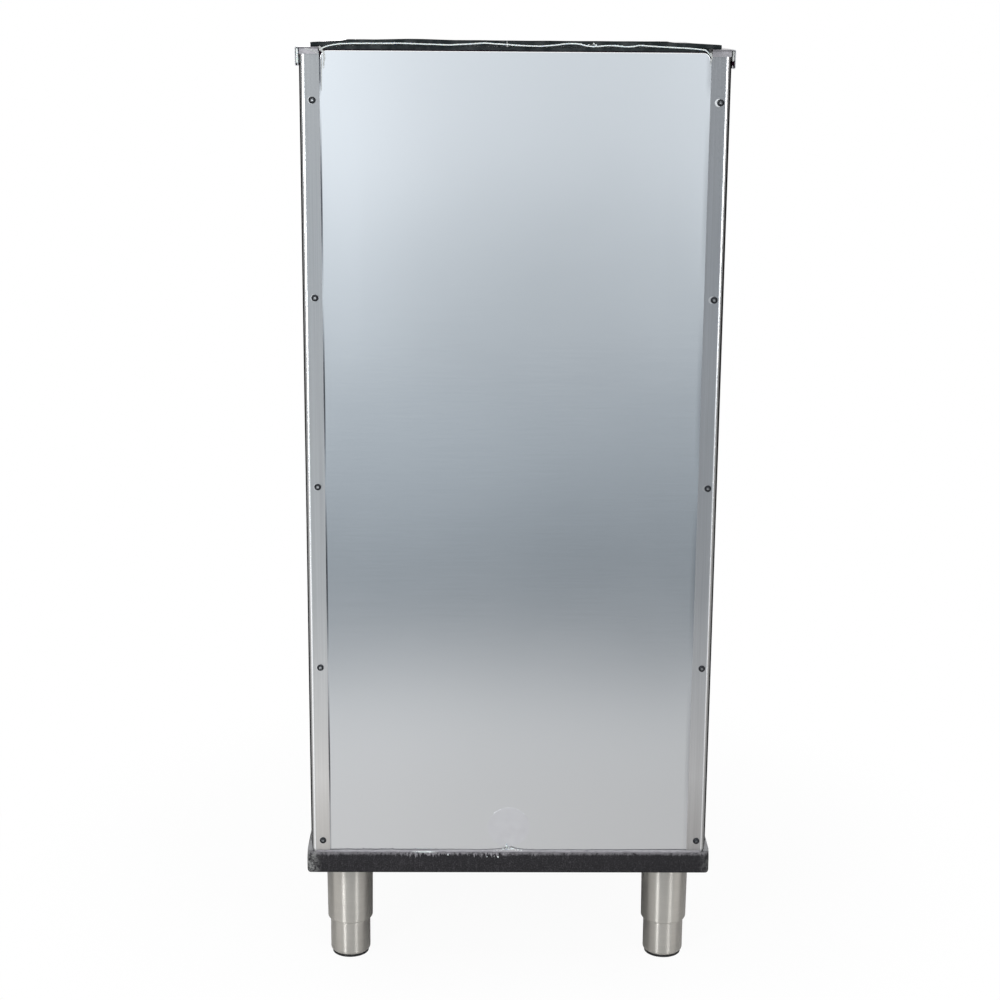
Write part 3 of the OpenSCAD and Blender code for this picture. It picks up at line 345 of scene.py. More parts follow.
def sheet_mesh(name, points, material, body, flip=False, close=False, loop=False):
    """A piece from a grid of points: points[i, j] has a face with its next neighbours both ways.
    With close, the columns join round and the first and last rows are filled in; with loop,
    both the columns and the rows join round."""
    rows, columns = points.shape[:2]
    row, column = np.meshgrid(np.arange(rows if loop else rows - 1),
                              np.arange(columns if close or loop else columns - 1), indexing="ij")
    after, below = (column + 1) % columns, (row + 1) % rows
    faces = np.stack([row * columns + column, row * columns + after,
                      below * columns + after, below * columns + column], axis=-1).reshape(-1, 4)
    faces = (faces[:, ::-1] if flip else faces).tolist()
    if close:
        ends = [np.arange(columns)[::-1], np.arange(columns) + (rows - 1) * columns]
        faces += [(end[::-1] if flip else end).tolist() for end in ends]
    return add_piece(name, points, faces, material, body)


flange_edge = 0.248
panel_low, panel_top = 0.158, 1.2662
panel_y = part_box("back_panel")[1].y
screw_pitch = 0.252
screw_z = 0.196 + screw_pitch * np.arange(5)
fold_r, corner_r, relief_h = 0.0018, 0.011, 0.012
half_under_flange, sheet_t = 0.262, 0.001


def between_screws(z):
    """0 level with a screw and 1 halfway between two: the squared sine over the screw pitch."""
    return np.sin(np.pi * (z - screw_z[0]) / screw_pitch) ** 2


def panel_face(x, z):
    """How far the panel stands out: a crown across, a small rise beside each flange that fades
    at the screws, and slow waves left by the foam."""
    inside = np.clip(flange_edge - np.abs(x), 0, None)
    free = between_screws(z) * np.clip((panel_top - z) / 0.05, 0, 1)
    height = (z - panel_low) / (panel_top - panel_low)
    crown = 0.0022 * (1 - (x / flange_edge) ** 2) * np.sin(np.pi * height)
    edge = 0.00022 * free * (1 - np.exp(-inside / 0.012))
    waves = np.sin(9 * x + 5 * z + 1.0) * np.sin(7.5 * z + 0.4) * np.clip(inside / 0.05, 0, 1)
    return crown + edge + 0.00035 * waves


panel_h = panel_top - panel_low
z = panel_low + np.concatenate([np.linspace(0, panel_h - relief_h, 260)[:-1],
                                panel_h - relief_h * (1 - np.linspace(0, 1, 24))])
across = np.sin(np.linspace(-np.pi / 2, np.pi / 2, 161)) * 0.62 + np.linspace(-1, 1, 161) * 0.38
rounding = np.clip(z - (panel_top - corner_r), 0, corner_r)
half = np.where(z > panel_top - relief_h, flange_edge - 0.0008, half_under_flange)
half = half - corner_r + np.sqrt(corner_r ** 2 - rounding ** 2 * 0.98)
x = across[None, :] * half[:, None]
z = np.broadcast_to(z[:, None], x.shape)
folded = np.clip(z - (panel_top - fold_r), 0, fold_r)
y = panel_y + panel_face(x, z) - (fold_r - np.sqrt(np.maximum(fold_r ** 2 - folded ** 2, 0)))
galvanised = Finish("galvanised_sheet", metallic=1.0)
left, up = galvanised.axis(0), galvanised.axis(2)
bands = galvanised.noise(1.0, 4.0, 0.6, where=galvanised.stretched(7, 7, 600))
fine = galvanised.noise(1.0, 2.0, 0.5, where=galvanised.stretched(40, 40, 1500))
cloud = galvanised.noise(7.0, 3.0, 0.55)
spangle = galvanised.cells(520.0)
middle = up.step(0.36, 0.56) * (1 - up.step(0.80, 1.05))
streaks = ((bands - 0.5) * 0.5 + (fine - 0.5) * 0.5) * (middle * 0.8 + 0.2)
tone = streaks * 0.55 + (cloud - 0.5) * 0.10 + (spangle - 0.5) * 0.05 + 0.5
free = up.calc("SINE", (up - screw_z[0]) * (math.pi / screw_pitch)) ** 2
# Painted shadow: a dark line along the inner edge of each flange, stronger on the left one,
# strongest midway between the screws, full along the top and somewhat raised at the bottom; it
# stands for the shade in the gap where the flange lifts off the panel.
gap = left.step(0.2455, 0.2466) * 0.92 + (left * -1.0).step(0.2400, 0.2475) * 0.22
open_end = up.step(1.205, 1.240) + 0.35 - up.step(0.21, 0.25) * 0.35
painted_gap_shadow = gap * (free ** 0.7 + open_end).at_most(1.0)
metal = galvanised.mix(tone, (0.64, 0.645, 0.655), (0.80, 0.805, 0.815))
galvanised.set(base_color=galvanised.mix(painted_gap_shadow, metal, (0.05, 0.05, 0.06)),
               roughness=(cloud - 0.5) * 0.04 + (bands - 0.5) * 0.03 + 0.16)
galvanised.bump(bands * 0.6 + fine * 0.4, 0.00005, 0.10)
panel = sheet_mesh("back_sheet", np.stack([x, y, z], axis=-1), galvanised.material, "cabinet",
                   flip=True)
wall = panel.modifiers.new("thickness", "SOLIDIFY")
wall.thickness, wall.offset = sheet_t, -1
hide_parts("back_panel")


# Cover over the filling hole. Thin steel disc with a raised rim, stuck over the hole that the
# foam was poured through. It lies on the panel, follows its bulge and has nearly its tone.
def full_turn(count):
    """Angles evenly spaced round a circle, the first being 0."""
    return np.linspace(0, 2 * np.pi, count, endpoint=False)


cover_r, cover_z, rim_in = 0.029, 0.216, 0.0238
disc_t, rim_rise, edge_r = 0.0003, 0.0001, 0.0002
cover_steel = Finish("dull_cover_sheet", metallic=1.0)
dulled = cover_steel.noise(60.0, 4.0, 0.6)
cover_steel.set(base_color=cover_steel.mix(dulled, (0.680, 0.680, 0.705), (0.780, 0.780, 0.805)),
                roughness=dulled * 0.06 + 0.19)
from_centre = cover_r * np.sin(np.linspace(0.02, np.pi / 2, 70))
lift = disc_t + rim_rise / (1 + np.exp(-(from_centre - rim_in) / 0.00080))
lift *= np.sqrt(1 - np.clip((from_centre - cover_r) / edge_r + 1, 0, 1) ** 2 * 0.9)
from_centre, lift = np.append(from_centre, cover_r), np.append(lift, 0.0)
turn = full_turn(96)
x = from_centre[:, None] * np.cos(turn)
z = cover_z + from_centre[:, None] * np.sin(turn)
cover = sheet_mesh("fill_cover_disc",
                   np.stack([x, panel_y + panel_face(x, z) + lift[:, None], z], axis=-1),
                   cover_steel.material, "cabinet", close=True)
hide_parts("fill_cover")


# Sides, front and top trims. Stainless steel sheet brushed along its height, folded and
# screwed; the grain is fine streaks that run up the sheet.
def brushed(name, colour, grain, roughness=0.36):
    """Brushed steel: streaks from a noise drawn out along the grain, as a scale for each axis."""
    finish = Finish(name, metallic=1.0)
    lines = finish.noise(1.0, 3.0, 0.6, where=finish.stretched(*grain))
    broad = finish.noise(1.0, 2.0, 0.5, where=finish.stretched(*[g * 0.12 for g in grain]))
    smudge = finish.noise(5.0, 3.0, 0.55)
    streak = (lines - 0.5) * 0.5 + (broad - 0.5) * 0.35 + (smudge - 0.5) * 0.25 + 0.5
    deep, pale = ([min(1.0, c * scale) for c in colour] for scale in (0.84, 1.16))
    finish.tone = finish.mix(streak, deep, pale)
    finish.sheen = (smudge - 0.5) * 0.1 + (lines - 0.5) * 0.08 + roughness
    finish.set(base_color=finish.tone, roughness=finish.sheen)
    finish.bump(lines, 0.00006, 0.4)
    return finish


screw_left, screw_right = 0.2575, 0.261


def nearest_screw(left, up):
    """1 on the left half and 0 on the right one, then how far a point lies from the axis of the
    nearest back screw, along X and along Z."""
    at_left = left.step(-0.01, 0.01)
    off_x = left - (at_left * (screw_left + screw_right) - screw_right)
    return at_left, off_x, up.calc("WRAP", up - screw_z[0], screw_pitch / 2, -screw_pitch / 2)


side_steel = brushed("brushed_side_sheet", (0.47, 0.475, 0.48), (900, 900, 7), 0.24)
left, back, up = side_steel.axis(0), side_steel.axis(1), side_steel.axis(2)
flange = (1 - abs(left).step(0.2655, 0.2690)) * back.step(0.4160, 0.4168)
at_left, off_x, off_z = nearest_screw(left, up)
distance = ((off_x - (1 - at_left) * 0.0016 - 0.0006) ** 2 + off_z ** 2) ** 0.5
halo = (1 - distance.step(0.0046, 0.0054)) * flange
flange_streaks = side_steel.noise(1.0, 3.0, 0.6, where=side_steel.stretched(620, 620, 4))
# Painted reflection: the flanges' colour follows the height, lightest about 0.3 m up where the
# steel mirrors the floor and darker higher up, warm low down and cooler at the top; it is
# multiplied into their vertical streaks.
flange_top = 1.27
flange_painted_reflection = add_node(side_steel.tree, "ShaderNodeValToRGB", {"stops": [
    (place / flange_top, [tone * c for c in (warm, 1.0, 2.0 - warm)]) for place, tone, warm in
    ((0.16, 0.48, 1.04), (0.22, 0.54, 1.04), (0.29, 0.64, 1.03), (0.42, 0.54, 1.01),
     (0.55, 0.42, 0.99), (0.79, 0.365, 0.98), (1.0, 0.32, 0.97), (flange_top, 0.292, 0.98))]},
    {0: up / flange_top})
# Painted shade: the flange on the right (x below 0) is darker and bluer, because the right side
# gets less light.
shade = side_steel.mix(at_left, (0.75, 0.755, 0.77), (1.0, 1.0, 1.0))
grain_and_painted_light = side_steel.mix(flange_streaks, (0.84, 0.84, 0.84), (1.16, 1.16, 1.16))
grain_and_painted_light = side_steel.mix(1.0, side_steel.mix(1.0, flange_painted_reflection, shade, "MULTIPLY"), grain_and_painted_light, "MULTIPLY")
steel_and_painted_light = side_steel.mix(flange, side_steel.tone, grain_and_painted_light)
# Painted highlight: a near-white line along the rounded rear bend of each side sheet.
bend = abs(left).step(0.2668, 0.2680) * (1 - abs(left).step(0.2688, 0.2702))
steel_and_painted_light = side_steel.mix(bend * back.step(0.4105, 0.4125), steel_and_painted_light, (0.96, 0.96, 0.96))
# Painted shade: a dark brownish strip on the outer part of the rear bend, wider and darker on the
# right sheet.
outer = (abs(left) + (1 - at_left) * 0.0012).step(0.2688, 0.2706) * back.step(0.404, 0.411)
steel_and_painted_light = side_steel.mix(outer * (0.60 - at_left * 0.16), steel_and_painted_light, (0.045, 0.038, 0.034))
# A lighter ring round each screw on the flanges: even on the left, and on the right stronger higher
# up.
halo_strength = up.step(1.05, 1.15) * 0.32 + up.step(0.82, 0.92) * 0.14 + 0.07
halo_strength = halo_strength * (1 - at_left) + at_left * 0.30
side_steel.set(base_color=side_steel.mix(halo * halo_strength, steel_and_painted_light, (0.95, 0.95, 0.95)),
               roughness=side_steel.sheen + flange * 0.24 + (1 - back.step(0.404, 0.410)) * 0.20)
front_steel = brushed("brushed_front_sheet", (0.50, 0.50, 0.505), (7, 900, 900))
trim_steel = brushed("brushed_trim", (0.44, 0.43, 0.435), (420, 60, 420), 0.36)
left, back, up = (trim_steel.axis(k) for k in range(3))
spots = trim_steel.noise(260.0, 3.0, 0.6, 0.8)
rubbed = trim_steel.mix(spots.step(0.42, 0.72) * 0.7, trim_steel.tone, (0.56, 0.54, 0.555))
tab = back.step(0.4150, 0.4160) * (1 - abs(left).step(0.2725, 0.2735))
# The tab is mottled, darker on the right trim (x below 0) and darker along its top above 1.268 m.
tab_mottle = trim_steel.mix(trim_steel.noise(120.0, 4.0, 0.6, 1.2).step(0.35, 0.65),
                           (0.60, 0.585, 0.60), (0.84, 0.82, 0.83))
darker = trim_steel.mix(1.0, tab_mottle, (0.84, 0.84, 0.84), "MULTIPLY")
tab_mottle = trim_steel.mix(left.step(-0.01, 0.01), darker, tab_mottle)
tab_mottle = trim_steel.mix(up.step(1.2668, 1.2680) * 0.5, tab_mottle, (0.16, 0.155, 0.16))
trim_steel.set(base_color=trim_steel.mix(
    tab, rubbed, trim_steel.mix(1.0, rubbed, tab_mottle, "MULTIPLY")))
dress(side_steel, "side_panel_left", "side_panel_right")
dress(front_steel, "front_panel", "top_front_trim")
dress(trim_steel, "top_trim_left", "top_trim_right")


# Back screws. Blackened pan heads with a cross recess, driven through each flange; a painted
# highlight lightens the middle of each, weaker on the right and on the lowest pair.
def ring_faces(first, last, around):
    """Faces between neighbouring rings of points, from the first ring to the last."""
    ring, place = np.meshgrid(np.arange(first, last), np.arange(around), indexing="ij")
    after = (place + 1) % around
    corners = [ring * around + place, (ring + 1) * around + place,
               (ring + 1) * around + after, ring * around + after]
    return np.stack(corners, axis=-1).reshape(-1, 4)


def copies(name, points, groups, material):
    """Many small bodies as one piece: points[place, vertex], and the same groups of faces at
    each place."""
    first = points.shape[1] * np.arange(len(points))[:, None, None]
    faces = []
    for group in groups:
        faces += (group[None] + first).reshape(-1, group.shape[1]).tolist()
    return add_piece(name, points, faces, material, "cabinet")


def pan_heads(name, places, radius, height, material):
    """Pan heads that look along +Y: a dome turned about each screw's axis, lowered along a
    cross by a depth that falls off with the distance from the nearest arm."""
    turns, rings = 48, 22
    angle = full_turn(turns)
    r = radius * np.sin(np.linspace(0, 1, rings) * np.pi / 2)
    r[-3:] = radius * np.array([0.995, 1.0, 1.0])
    dome = height * (1 - np.clip((r / radius - 0.42) / 0.58, 0, 1) ** 1.6 * 0.7)
    dome[-2:] = [height * 0.22, 0.0]
    a, b = r[:, None] * np.cos(angle), r[:, None] * np.sin(angle)
    arm = np.minimum(np.abs(a), np.abs(b)) / (0.13 * radius)
    cut = 0.55 * height / (1 + arm ** 6) * (r[:, None] < 0.62 * radius)
    head = np.stack([-a, dome[:, None] - cut, b], axis=-1).reshape(-1, 3)
    head = np.vstack([head, [0, height * 0.45, 0]])
    k = np.arange(turns)
    inner = np.stack([0 * k + len(head) - 1, turns + k, turns + (k + 1) % turns], axis=-1)
    under = (rings - 1) * turns + k[None, ::-1]
    return copies(name, np.array(places)[:, None] + head,
                  (ring_faces(1, rings - 1, turns), inner, under), material)


blackened = Finish("blackened_steel", metallic=0.9, roughness=0.32)
chipped = blackened.noise(900.0, 3.0, 0.6).step(0.52, 0.72)
blackened.set(base_color=blackened.mix(chipped, (0.035, 0.036, 0.04), (0.22, 0.22, 0.23)))
glinting_screw_head = Finish("screw_head_painted_glint", metallic=0.95, roughness=0.3)
left, up = glinting_screw_head.axis(0), glinting_screw_head.axis(2)
at_left, off_x, off_z = nearest_screw(left, up)
# Painted highlight: a light disc in the middle of each head, where the flat top mirrors the white
# studio; weaker on the right and on the lowest screws.
middle = 1 - ((off_x ** 2 + off_z ** 2) ** 0.5).step(0.0012, 0.0022)
glint_mottle = glinting_screw_head.noise(1400.0, 3.0, 0.6) * 0.5 + 0.6
painted_glint = middle * glint_mottle * (up.step(0.20, 0.30) * 0.45 + 0.55) * (at_left * 0.45 + 0.55)
glinting_screw_head.set(base_color=glinting_screw_head.mix(painted_glint, (0.030, 0.032, 0.036), (0.62, 0.63, 0.64)))
heads_y, head_r, head_h = 0.417053, 0.0045, 0.0026
heads = pan_heads("back_screw_heads",
                  [(x, heads_y, z) for z in screw_z for x in (-screw_right, screw_left)],
                  head_r, head_h, glinting_screw_head.material)
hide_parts("rear_screws")


# Rear seals. Two black closed-cell foam strips, one above the other, squeezed along the rear
# edge of the top; a white adhesive bead runs along their joint and dives at both ends.
def smoothed(values, width):
    """Running mean under a bell of an odd width in samples, with the end values held."""
    bell = np.hanning(width)
    return np.convolve(np.pad(values, width // 2, mode="edge"), bell / bell.sum(), mode="valid")


def follow(x, places, heights):
    """Height along the top through the given places, with rounded turns."""
    fine = np.linspace(places[0], places[-1], 800)
    return np.interp(x, fine, smoothed(np.interp(fine, places, heights), 23))


def ripple(x, count, seed):
    """Sum of a few sines with seeded phases, between about -1 and 1."""
    phase = np.random.default_rng(seed).uniform(0, 2 * np.pi, count)
    k = np.arange(1, count + 1)
    return (np.sin(np.multiply.outer(x, 9.0 * k ** 1.4) + phase) / k ** 0.6).sum(-1) / count ** 0.6


def squared(turn, power):
    """Cosine and sine, each to a power below 1 with its sign kept: a circle pushed out towards
    the corners of its square."""
    return (np.sign(v) * np.abs(v) ** power for v in (np.cos(turn), np.sin(turn)))


base_z = 0.150
seal_x = np.array([-0.2606, -0.2589, -0.2214, -0.1711, -0.1080, -0.0557, -0.0320, 0.0060, 0.0104,
                   0.0106, 0.0120, 0.0224, 0.0440, 0.0765, 0.1200, 0.1357, 0.2061, 0.2577, 0.2605])
seal_z = base_z + np.array([1.1255, 1.1255, 1.1274, 1.1281, 1.1282, 1.1278, 1.1275, 1.1285, 1.1285,
                            1.1272, 1.1274, 1.1276, 1.1278, 1.1290, 1.1301, 1.1302, 1.1283, 1.1255,
                            1.1254])
foam = Finish("black_foam_tape", roughness=0.82, specular_ior_level=0.0)
pores = foam.cells(1500.0)
patches = foam.noise(60.0, 4.0, 0.6)
tape = foam.mix(patches.step(0.35, 0.75) * 0.7, (0.014, 0.018, 0.019), (0.058, 0.064, 0.066))
# Painted shadow: below 1.2662 m the foam is nearly black with a purple tint, the shade under the
# lower strip where it meets the panel.
foam.set(base_color=foam.mix(foam.axis(2).step(1.2662, 1.2676), (0.010, 0.004, 0.008), tape),
         roughness=patches * 0.2 + 0.75)
foam.bump(pores * 0.5 + patches * 0.5, 0.0005, 0.4)


def strip(name, x0, x1, low, high, y0, y1, seed, bow=0.0006):
    """A foam strip along X: a rounded rectangle between two heights, which are functions of X,
    and two depths; its rear face is bowed out and rippled where the foam is squeezed."""
    x = np.linspace(x0, x1, 180)
    c, s = squared(full_turn(40), 0.28)
    lo, hi = low(x), high(x)
    mid, tall = (lo + hi) / 2, (hi - lo) / 2
    swell = bow * ripple(x, 9, seed)
    end = np.clip(np.minimum(x - x0, x1 - x) / 0.0012, 0, 1) ** 0.5 * 0.06 + 0.94
    zs = mid[:, None] + tall[:, None] * s * end[:, None]
    ys = (y0 + y1) / 2 + (y1 - y0) / 2 * c * end[:, None] + np.where(c > 0, swell[:, None], 0)
    xs = np.broadcast_to(x[:, None], zs.shape)
    return sheet_mesh(name, np.stack([xs, ys, zs], axis=-1), foam.material, "cabinet",
                      close=True)


seal_front, seal_back, seal_t, lowest_joint = 0.3892, 0.4160, 0.0062, base_z + 1.12005
lower_front, lower_back, lower_half, lower_z = 0.4074, 0.4149, 0.2448, 1.2651
butt_x, butt_gap, sliver = 0.0105, 0.0006, 0.00005


def seal_top(x):
    """Height of the top of the upper strip."""
    return follow(x, seal_x, seal_z)


def seal_joint(x):
    """Height of the joint between the two strips: one thickness lower, but not under a limit."""
    return follow(x, seal_x, np.clip(seal_z - seal_t, lowest_joint, None))


for name, x0, x1, seed in (("rear_seal_left_strip", -0.2604, butt_x - butt_gap, 3),
                           ("rear_seal_right_strip", butt_x + butt_gap, 0.2589, 5)):
    upper = strip(name, x0, x1, seal_joint, seal_top, seal_front, seal_back, seed)
    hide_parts(name.replace("_strip", ""))
lower = strip("rear_seal_lower_strip", -lower_half, lower_half,
              lambda x: np.full_like(x, lower_z), lambda x: seal_joint(x) - sliver,
              lower_front, lower_back, 8, 0.0004)
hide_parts("rear_seal_lower")

adhesive = Finish("white_adhesive", roughness=0.45, subsurface_weight=0.1)
grains = adhesive.noise(700.0, 3.0)
clean = adhesive.mix(grains.step(0.4, 0.7), (0.62, 0.66, 0.64), (0.90, 0.91, 0.90))
dives = (adhesive.axis(0) * -1.0).step(0.2385, 0.2450) * 0.75
adhesive.set(base_color=adhesive.mix(dives, clean, (0.27, 0.28, 0.275)))
adhesive.bump(grains, 0.0005, 0.5)


def cord_mesh(name, centre, radius, material, sides=10):
    """A tube of varying radius round a line of points: rings in the plane across the line."""
    step = unit(np.gradient(centre, axis=0))
    side = unit(np.cross(step, (0, 1.0, 0.12)))
    over = np.cross(side, step)
    turn = full_turn(sides)[None, :, None]
    ring = side[:, None] * np.cos(turn) + over[:, None] * np.sin(turn)
    return sheet_mesh(name, centre[:, None] + ring * radius[:, None, None], material, "cabinet",
                      close=True)


bead_x = np.array([-0.2480, -0.2460, -0.2434, -0.2403, -0.2327, -0.2200, -0.1825, -0.1698, -0.1572,
                   -0.1471, -0.1383, -0.1256, -0.1143, -0.1042, -0.0966, -0.0878, -0.0827, -0.0751,
                   -0.0625, -0.0499, -0.0309, -0.0054, 0.0388, 0.0828, 0.1458, 0.2062, 0.2212,
                   0.2338, 0.2401, 0.2451, 0.2474])
bead_z = base_z + np.array([1.1095, 1.1132, 1.1163, 1.1194, 1.1202, 1.1212, 1.1229, 1.1236, 1.1246,
                            1.1228, 1.1226, 1.1239, 1.1239, 1.1228, 1.1225, 1.1235, 1.1252, 1.1259,
                            1.1257, 1.1238, 1.1224, 1.1232, 1.1259, 1.1232, 1.1249, 1.1243, 1.1238,
                            1.1217, 1.1200, 1.1178, 1.1150])
x = np.linspace(bead_x[0], bead_x[-1], 420)
z = smoothed(np.interp(x, bead_x, bead_z), 9) + 0.00025 * ripple(x, 14, 11)
y = 0.4166 + 0.0006 * np.clip(1.2705 - z, 0, 0.004) / 0.004
bead_r = 0.00078 + 0.00022 * ripple(x * 3, 12, 21) ** 2
bead = cord_mesh("white_bead", np.stack([x, y, z], axis=-1), bead_r, adhesive.material)
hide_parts("rear_bead")


# Adhesive at the corners. The same white adhesive is smeared down the relieved corners of the
# panel and pushed into the open rear ends of the top trims.
aged = Finish("dusty_adhesive", roughness=0.6)
dusty = aged.noise(500.0, 4.0, 0.6)
aged.set(base_color=aged.mix(dusty.step(0.38, 0.66), (0.30, 0.31, 0.305), (0.52, 0.54, 0.53)))
aged.bump(dusty, 0.0005, 0.5)


def smear(name, places, radii, y):
    """A thin cord through the given (x, z) places, its radius running through the given radii."""
    places, along = np.array(places), np.linspace(0, 1, 60)
    marks = np.linspace(0, 1, len(places))
    x, z = (smoothed(np.interp(along, marks, places[:, k]), 9)
            + 0.00008 * ripple(along * 12, 9, seed) for k, seed in ((0, 5), (1, 7)))
    radius = np.interp(along, np.linspace(0, 1, len(radii)), radii)
    cord_mesh(name, np.stack([x, np.full(len(along), y), z], axis=-1),
              radius * (1 + 0.25 * ripple(along * 9, 9, 77)), aged.material, 12)


smear("adhesive_curl_left",
      [(0.2478, 1.2700), (0.2455, 1.2672), (0.2432, 1.2640), (0.2416, 1.2600), (0.2412, 1.2560),
       (0.2422, 1.2510), (0.2424, 1.2430)],
      [0.0015, 0.0017, 0.0016, 0.0012, 0.0009, 0.0006], 0.4166)
smear("adhesive_line_left",
      [(0.2447, 1.2615), (0.2449, 1.2500), (0.2452, 1.2400), (0.2455, 1.2150)],
      [0.0004, 0.0007, 0.0006, 0.0003], 0.4168)
smear("adhesive_tab_left", [(0.2668, 1.2685), (0.2560, 1.2655), (0.2488, 1.2612)],
      [0.0004, 0.0007, 0.0005], 0.4181)
smear("adhesive_curl_right",
      [(-0.2460, 1.2660), (-0.2478, 1.2628), (-0.2482, 1.2590), (-0.2472, 1.2550),
       (-0.2462, 1.2490)],
      [0.0010, 0.0012, 0.0010, 0.0006, 0.0003], 0.4168)


def plug(name, low, high, finish, seed, rough):
    """A block with rounded edges between two corners, ringed along Z; seeded ripples push its
    sides in and out."""
    low, high = np.array(low), np.array(high)
    mid, half = (low + high) / 2, (high - low) / 2
    rings, sides = 40, 24
    up, turn = np.linspace(0, 1, rings), full_turn(sides)
    c, s = squared(turn, 0.4)
    end = np.clip(np.minimum(up, 1 - up) / 0.08, 0, 1)[:, None] ** 0.5 * 0.5 + 0.5
    push = rough * (ripple(up * 2.5, 9, seed)[:, None] * np.cos(turn * 2 + seed)
                    + ripple(up * 2.1, 9, seed + 1)[:, None])
    zs = np.broadcast_to((low[2] + (high[2] - low[2]) * up)[:, None], (rings, sides))
    points = np.stack([mid[0] + (half[0] - 0.0001) * c * end,
                       mid[1] + (half[1] + push) * s * end, zs], axis=-1)
    sheet_mesh(name, points, finish.material, "cabinet", close=True)


corner_in, corner_out, corner_front, corner_back = 0.2435, 0.2494, 0.4110, 0.4157
trim_in, trim_out, trim_front, trim_back = 0.27415, 0.27735, 0.404, 0.4164
# Painted shadow: nearly black blocks behind the panel's relieved corners stand for the shade in the
# gap there.
plug("corner_gap_shadow_left", (corner_in, corner_front, 1.2465), (corner_out, corner_back, 1.2652),
     foam, 22, 0.0001)
plug("trim_plug_left", (trim_in, trim_front, 1.2488), (trim_out, trim_back, 1.2686),
     adhesive, 12, 0.0004)
plug("corner_gap_shadow_right", (-corner_out, corner_front, 1.2465), (-corner_in, corner_back, 1.2652),
     foam, 20, 0.0001)
plug("trim_plug_right", (-trim_out, trim_front, 1.2550), (-trim_in, trim_back, 1.2686),
     aged, 10, 0.0004)
# A nearly black block fills the lower part of the right trim's open end.
plug("trim_dark_block_right", (-trim_out, trim_front, 1.2488), (-trim_in, 0.4161, 1.2560),
     foam, 10, 0.0002)


def crumbs(name, places, sizes, finish, seed):
    """Small lumps as one mesh: at each place a sphere whose radius varies by chance from point
    to point."""
    chance = np.random.default_rng(seed)
    around, rings = 8, 5
    turn, fall = full_turn(around), np.linspace(0, np.pi, rings + 2)[1:-1]
    ball = np.stack([np.outer(np.sin(fall), np.cos(turn)), np.outer(np.sin(fall), np.sin(turn)),
                     np.outer(np.cos(fall), np.ones(around))], axis=-1).reshape(-1, 3)
    ball = np.vstack([[0, 0, 1], ball, [0, 0, -1]])
    places, total = np.array(places), len(ball)
    radius = np.array(sizes)[:, None, None] * chance.uniform(0.75, 1.25, (len(places), total, 1))
    points = places[:, None] + ball * radius * chance.uniform(0.6, 1.4, (len(places), 1, 3))
    k, last = np.arange(around), total - 1
    following, last_ring = (k + 1) % around, last - around
    caps = np.vstack([np.stack([0 * k, 1 + k, 1 + following], axis=-1),
                      np.stack([0 * k + last, last_ring + following, last_ring + k], axis=-1)])
    copies(name, points, (1 + ring_faces(0, rings - 1, around), caps), finish.material)


crumbs("adhesive_crumbs_top", [(x, 0.4170, z) for x, z in (
    (-0.0915, 1.2742), (-0.0930, 1.2748), (-0.0975, 1.2752), (-0.0986, 1.2762), (-0.0992, 1.2746),
    (-0.1012, 1.2742), (-0.1020, 1.2736), (-0.1285, 1.2740), (-0.1290, 1.2745), (-0.1345, 1.2741),
    (-0.0823, 1.2760), (0.0111, 1.2790))],
       [0.0009, 0.0006, 0.0006, 0.0008, 0.0007, 0.0009, 0.0006, 0.0007, 0.0005, 0.0006, 0.0008,
        0.0006], adhesive, 91)


# Side and front seals. Softer black foam strips stuck on the rim inside the trims, for the
# machine to rest on; its weight has left them at half their height.
def block_strip(name, low, high, replaced, seed):
    """A foam strip with rounded edges between two corners, its top rippled along its length."""
    low, high = np.array(low), np.array(high)
    pressed, rings, sides = 0.5, 120, 32
    high[2] = low[2] + (high[2] - low[2]) * pressed
    mid, half = (low + high) / 2, (high - low) / 2
    long = 0 if high[0] - low[0] > high[1] - low[1] else 1
    wide = 1 - long
    along = np.linspace(low[long], high[long], rings)
    c, s = squared(full_turn(sides), 0.35)
    points = np.zeros((rings, sides, 3))
    points[..., long] = along[:, None]
    points[..., wide] = mid[wide] + half[wide] * c
    points[..., 2] = mid[2] + half[2] * s
    points[..., 2] -= np.clip(s, 0, 1) * 0.0004 * (1 + ripple(along, 7, seed))[:, None]
    piece = sheet_mesh(name, points, foam.material, "cabinet", close=True,
                       flip=long == 1)
    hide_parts(replaced)


for seed, name in enumerate(("side_seal_left", "side_seal_right", "front_seal")):
    block_strip(name + "_strip", *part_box(name), name, seed + 30)


# Base tray. Black structural foam moulding with a coarse, scuffed skin; sealant is smeared
# along its rear rim, and the legs screw into it from below.
moulding = Finish("base_moulding", specular_ior_level=0.22)
side, back, up = (moulding.axis(k) for k in range(3))
coarse = moulding.noise(150.0, 5.0, 0.65)
pits = moulding.cells(420.0)
speck = moulding.noise(620.0, 4.0, 0.7)
marks = moulding.noise(1.0, 4.0, 0.7, where=moulding.stretched(330, 330, 80))
scuff = moulding.noise(140.0, 5.0, 0.75, 0.6)
rear = back.step(0.414, 0.4165)
combed = moulding.noise(11.0, 2.0, 0.5).step(0.50, 0.60)
wiped = (up + (marks - 0.5) * (combed * 0.020 + 0.006)).step(0.1752, 0.1800)
wiped = rear * wiped * scuff.step(0.30, 0.55)
corner = side.step(0.258, 0.276) + (side * -1.0).step(0.262, 0.280) * 0.35
corner = corner * back.step(0.395, 0.415)
ear = abs(side).step(0.262, 0.268) * back.step(0.402, 0.410) * up.step(0.1785, 0.1815)
pale = speck.step(0.46, 0.78) * 0.6 + marks.step(0.52, 0.80) * 0.4
dim = side.step(-0.24, -0.05) * 0.35 + 0.65
skin = moulding.mix(pale * dim, (0.0075, 0.0068, 0.0085), (0.080, 0.074, 0.083))
skin = moulding.mix(wiped * (combed * 0.25 + 0.55), skin, (0.29, 0.28, 0.30))
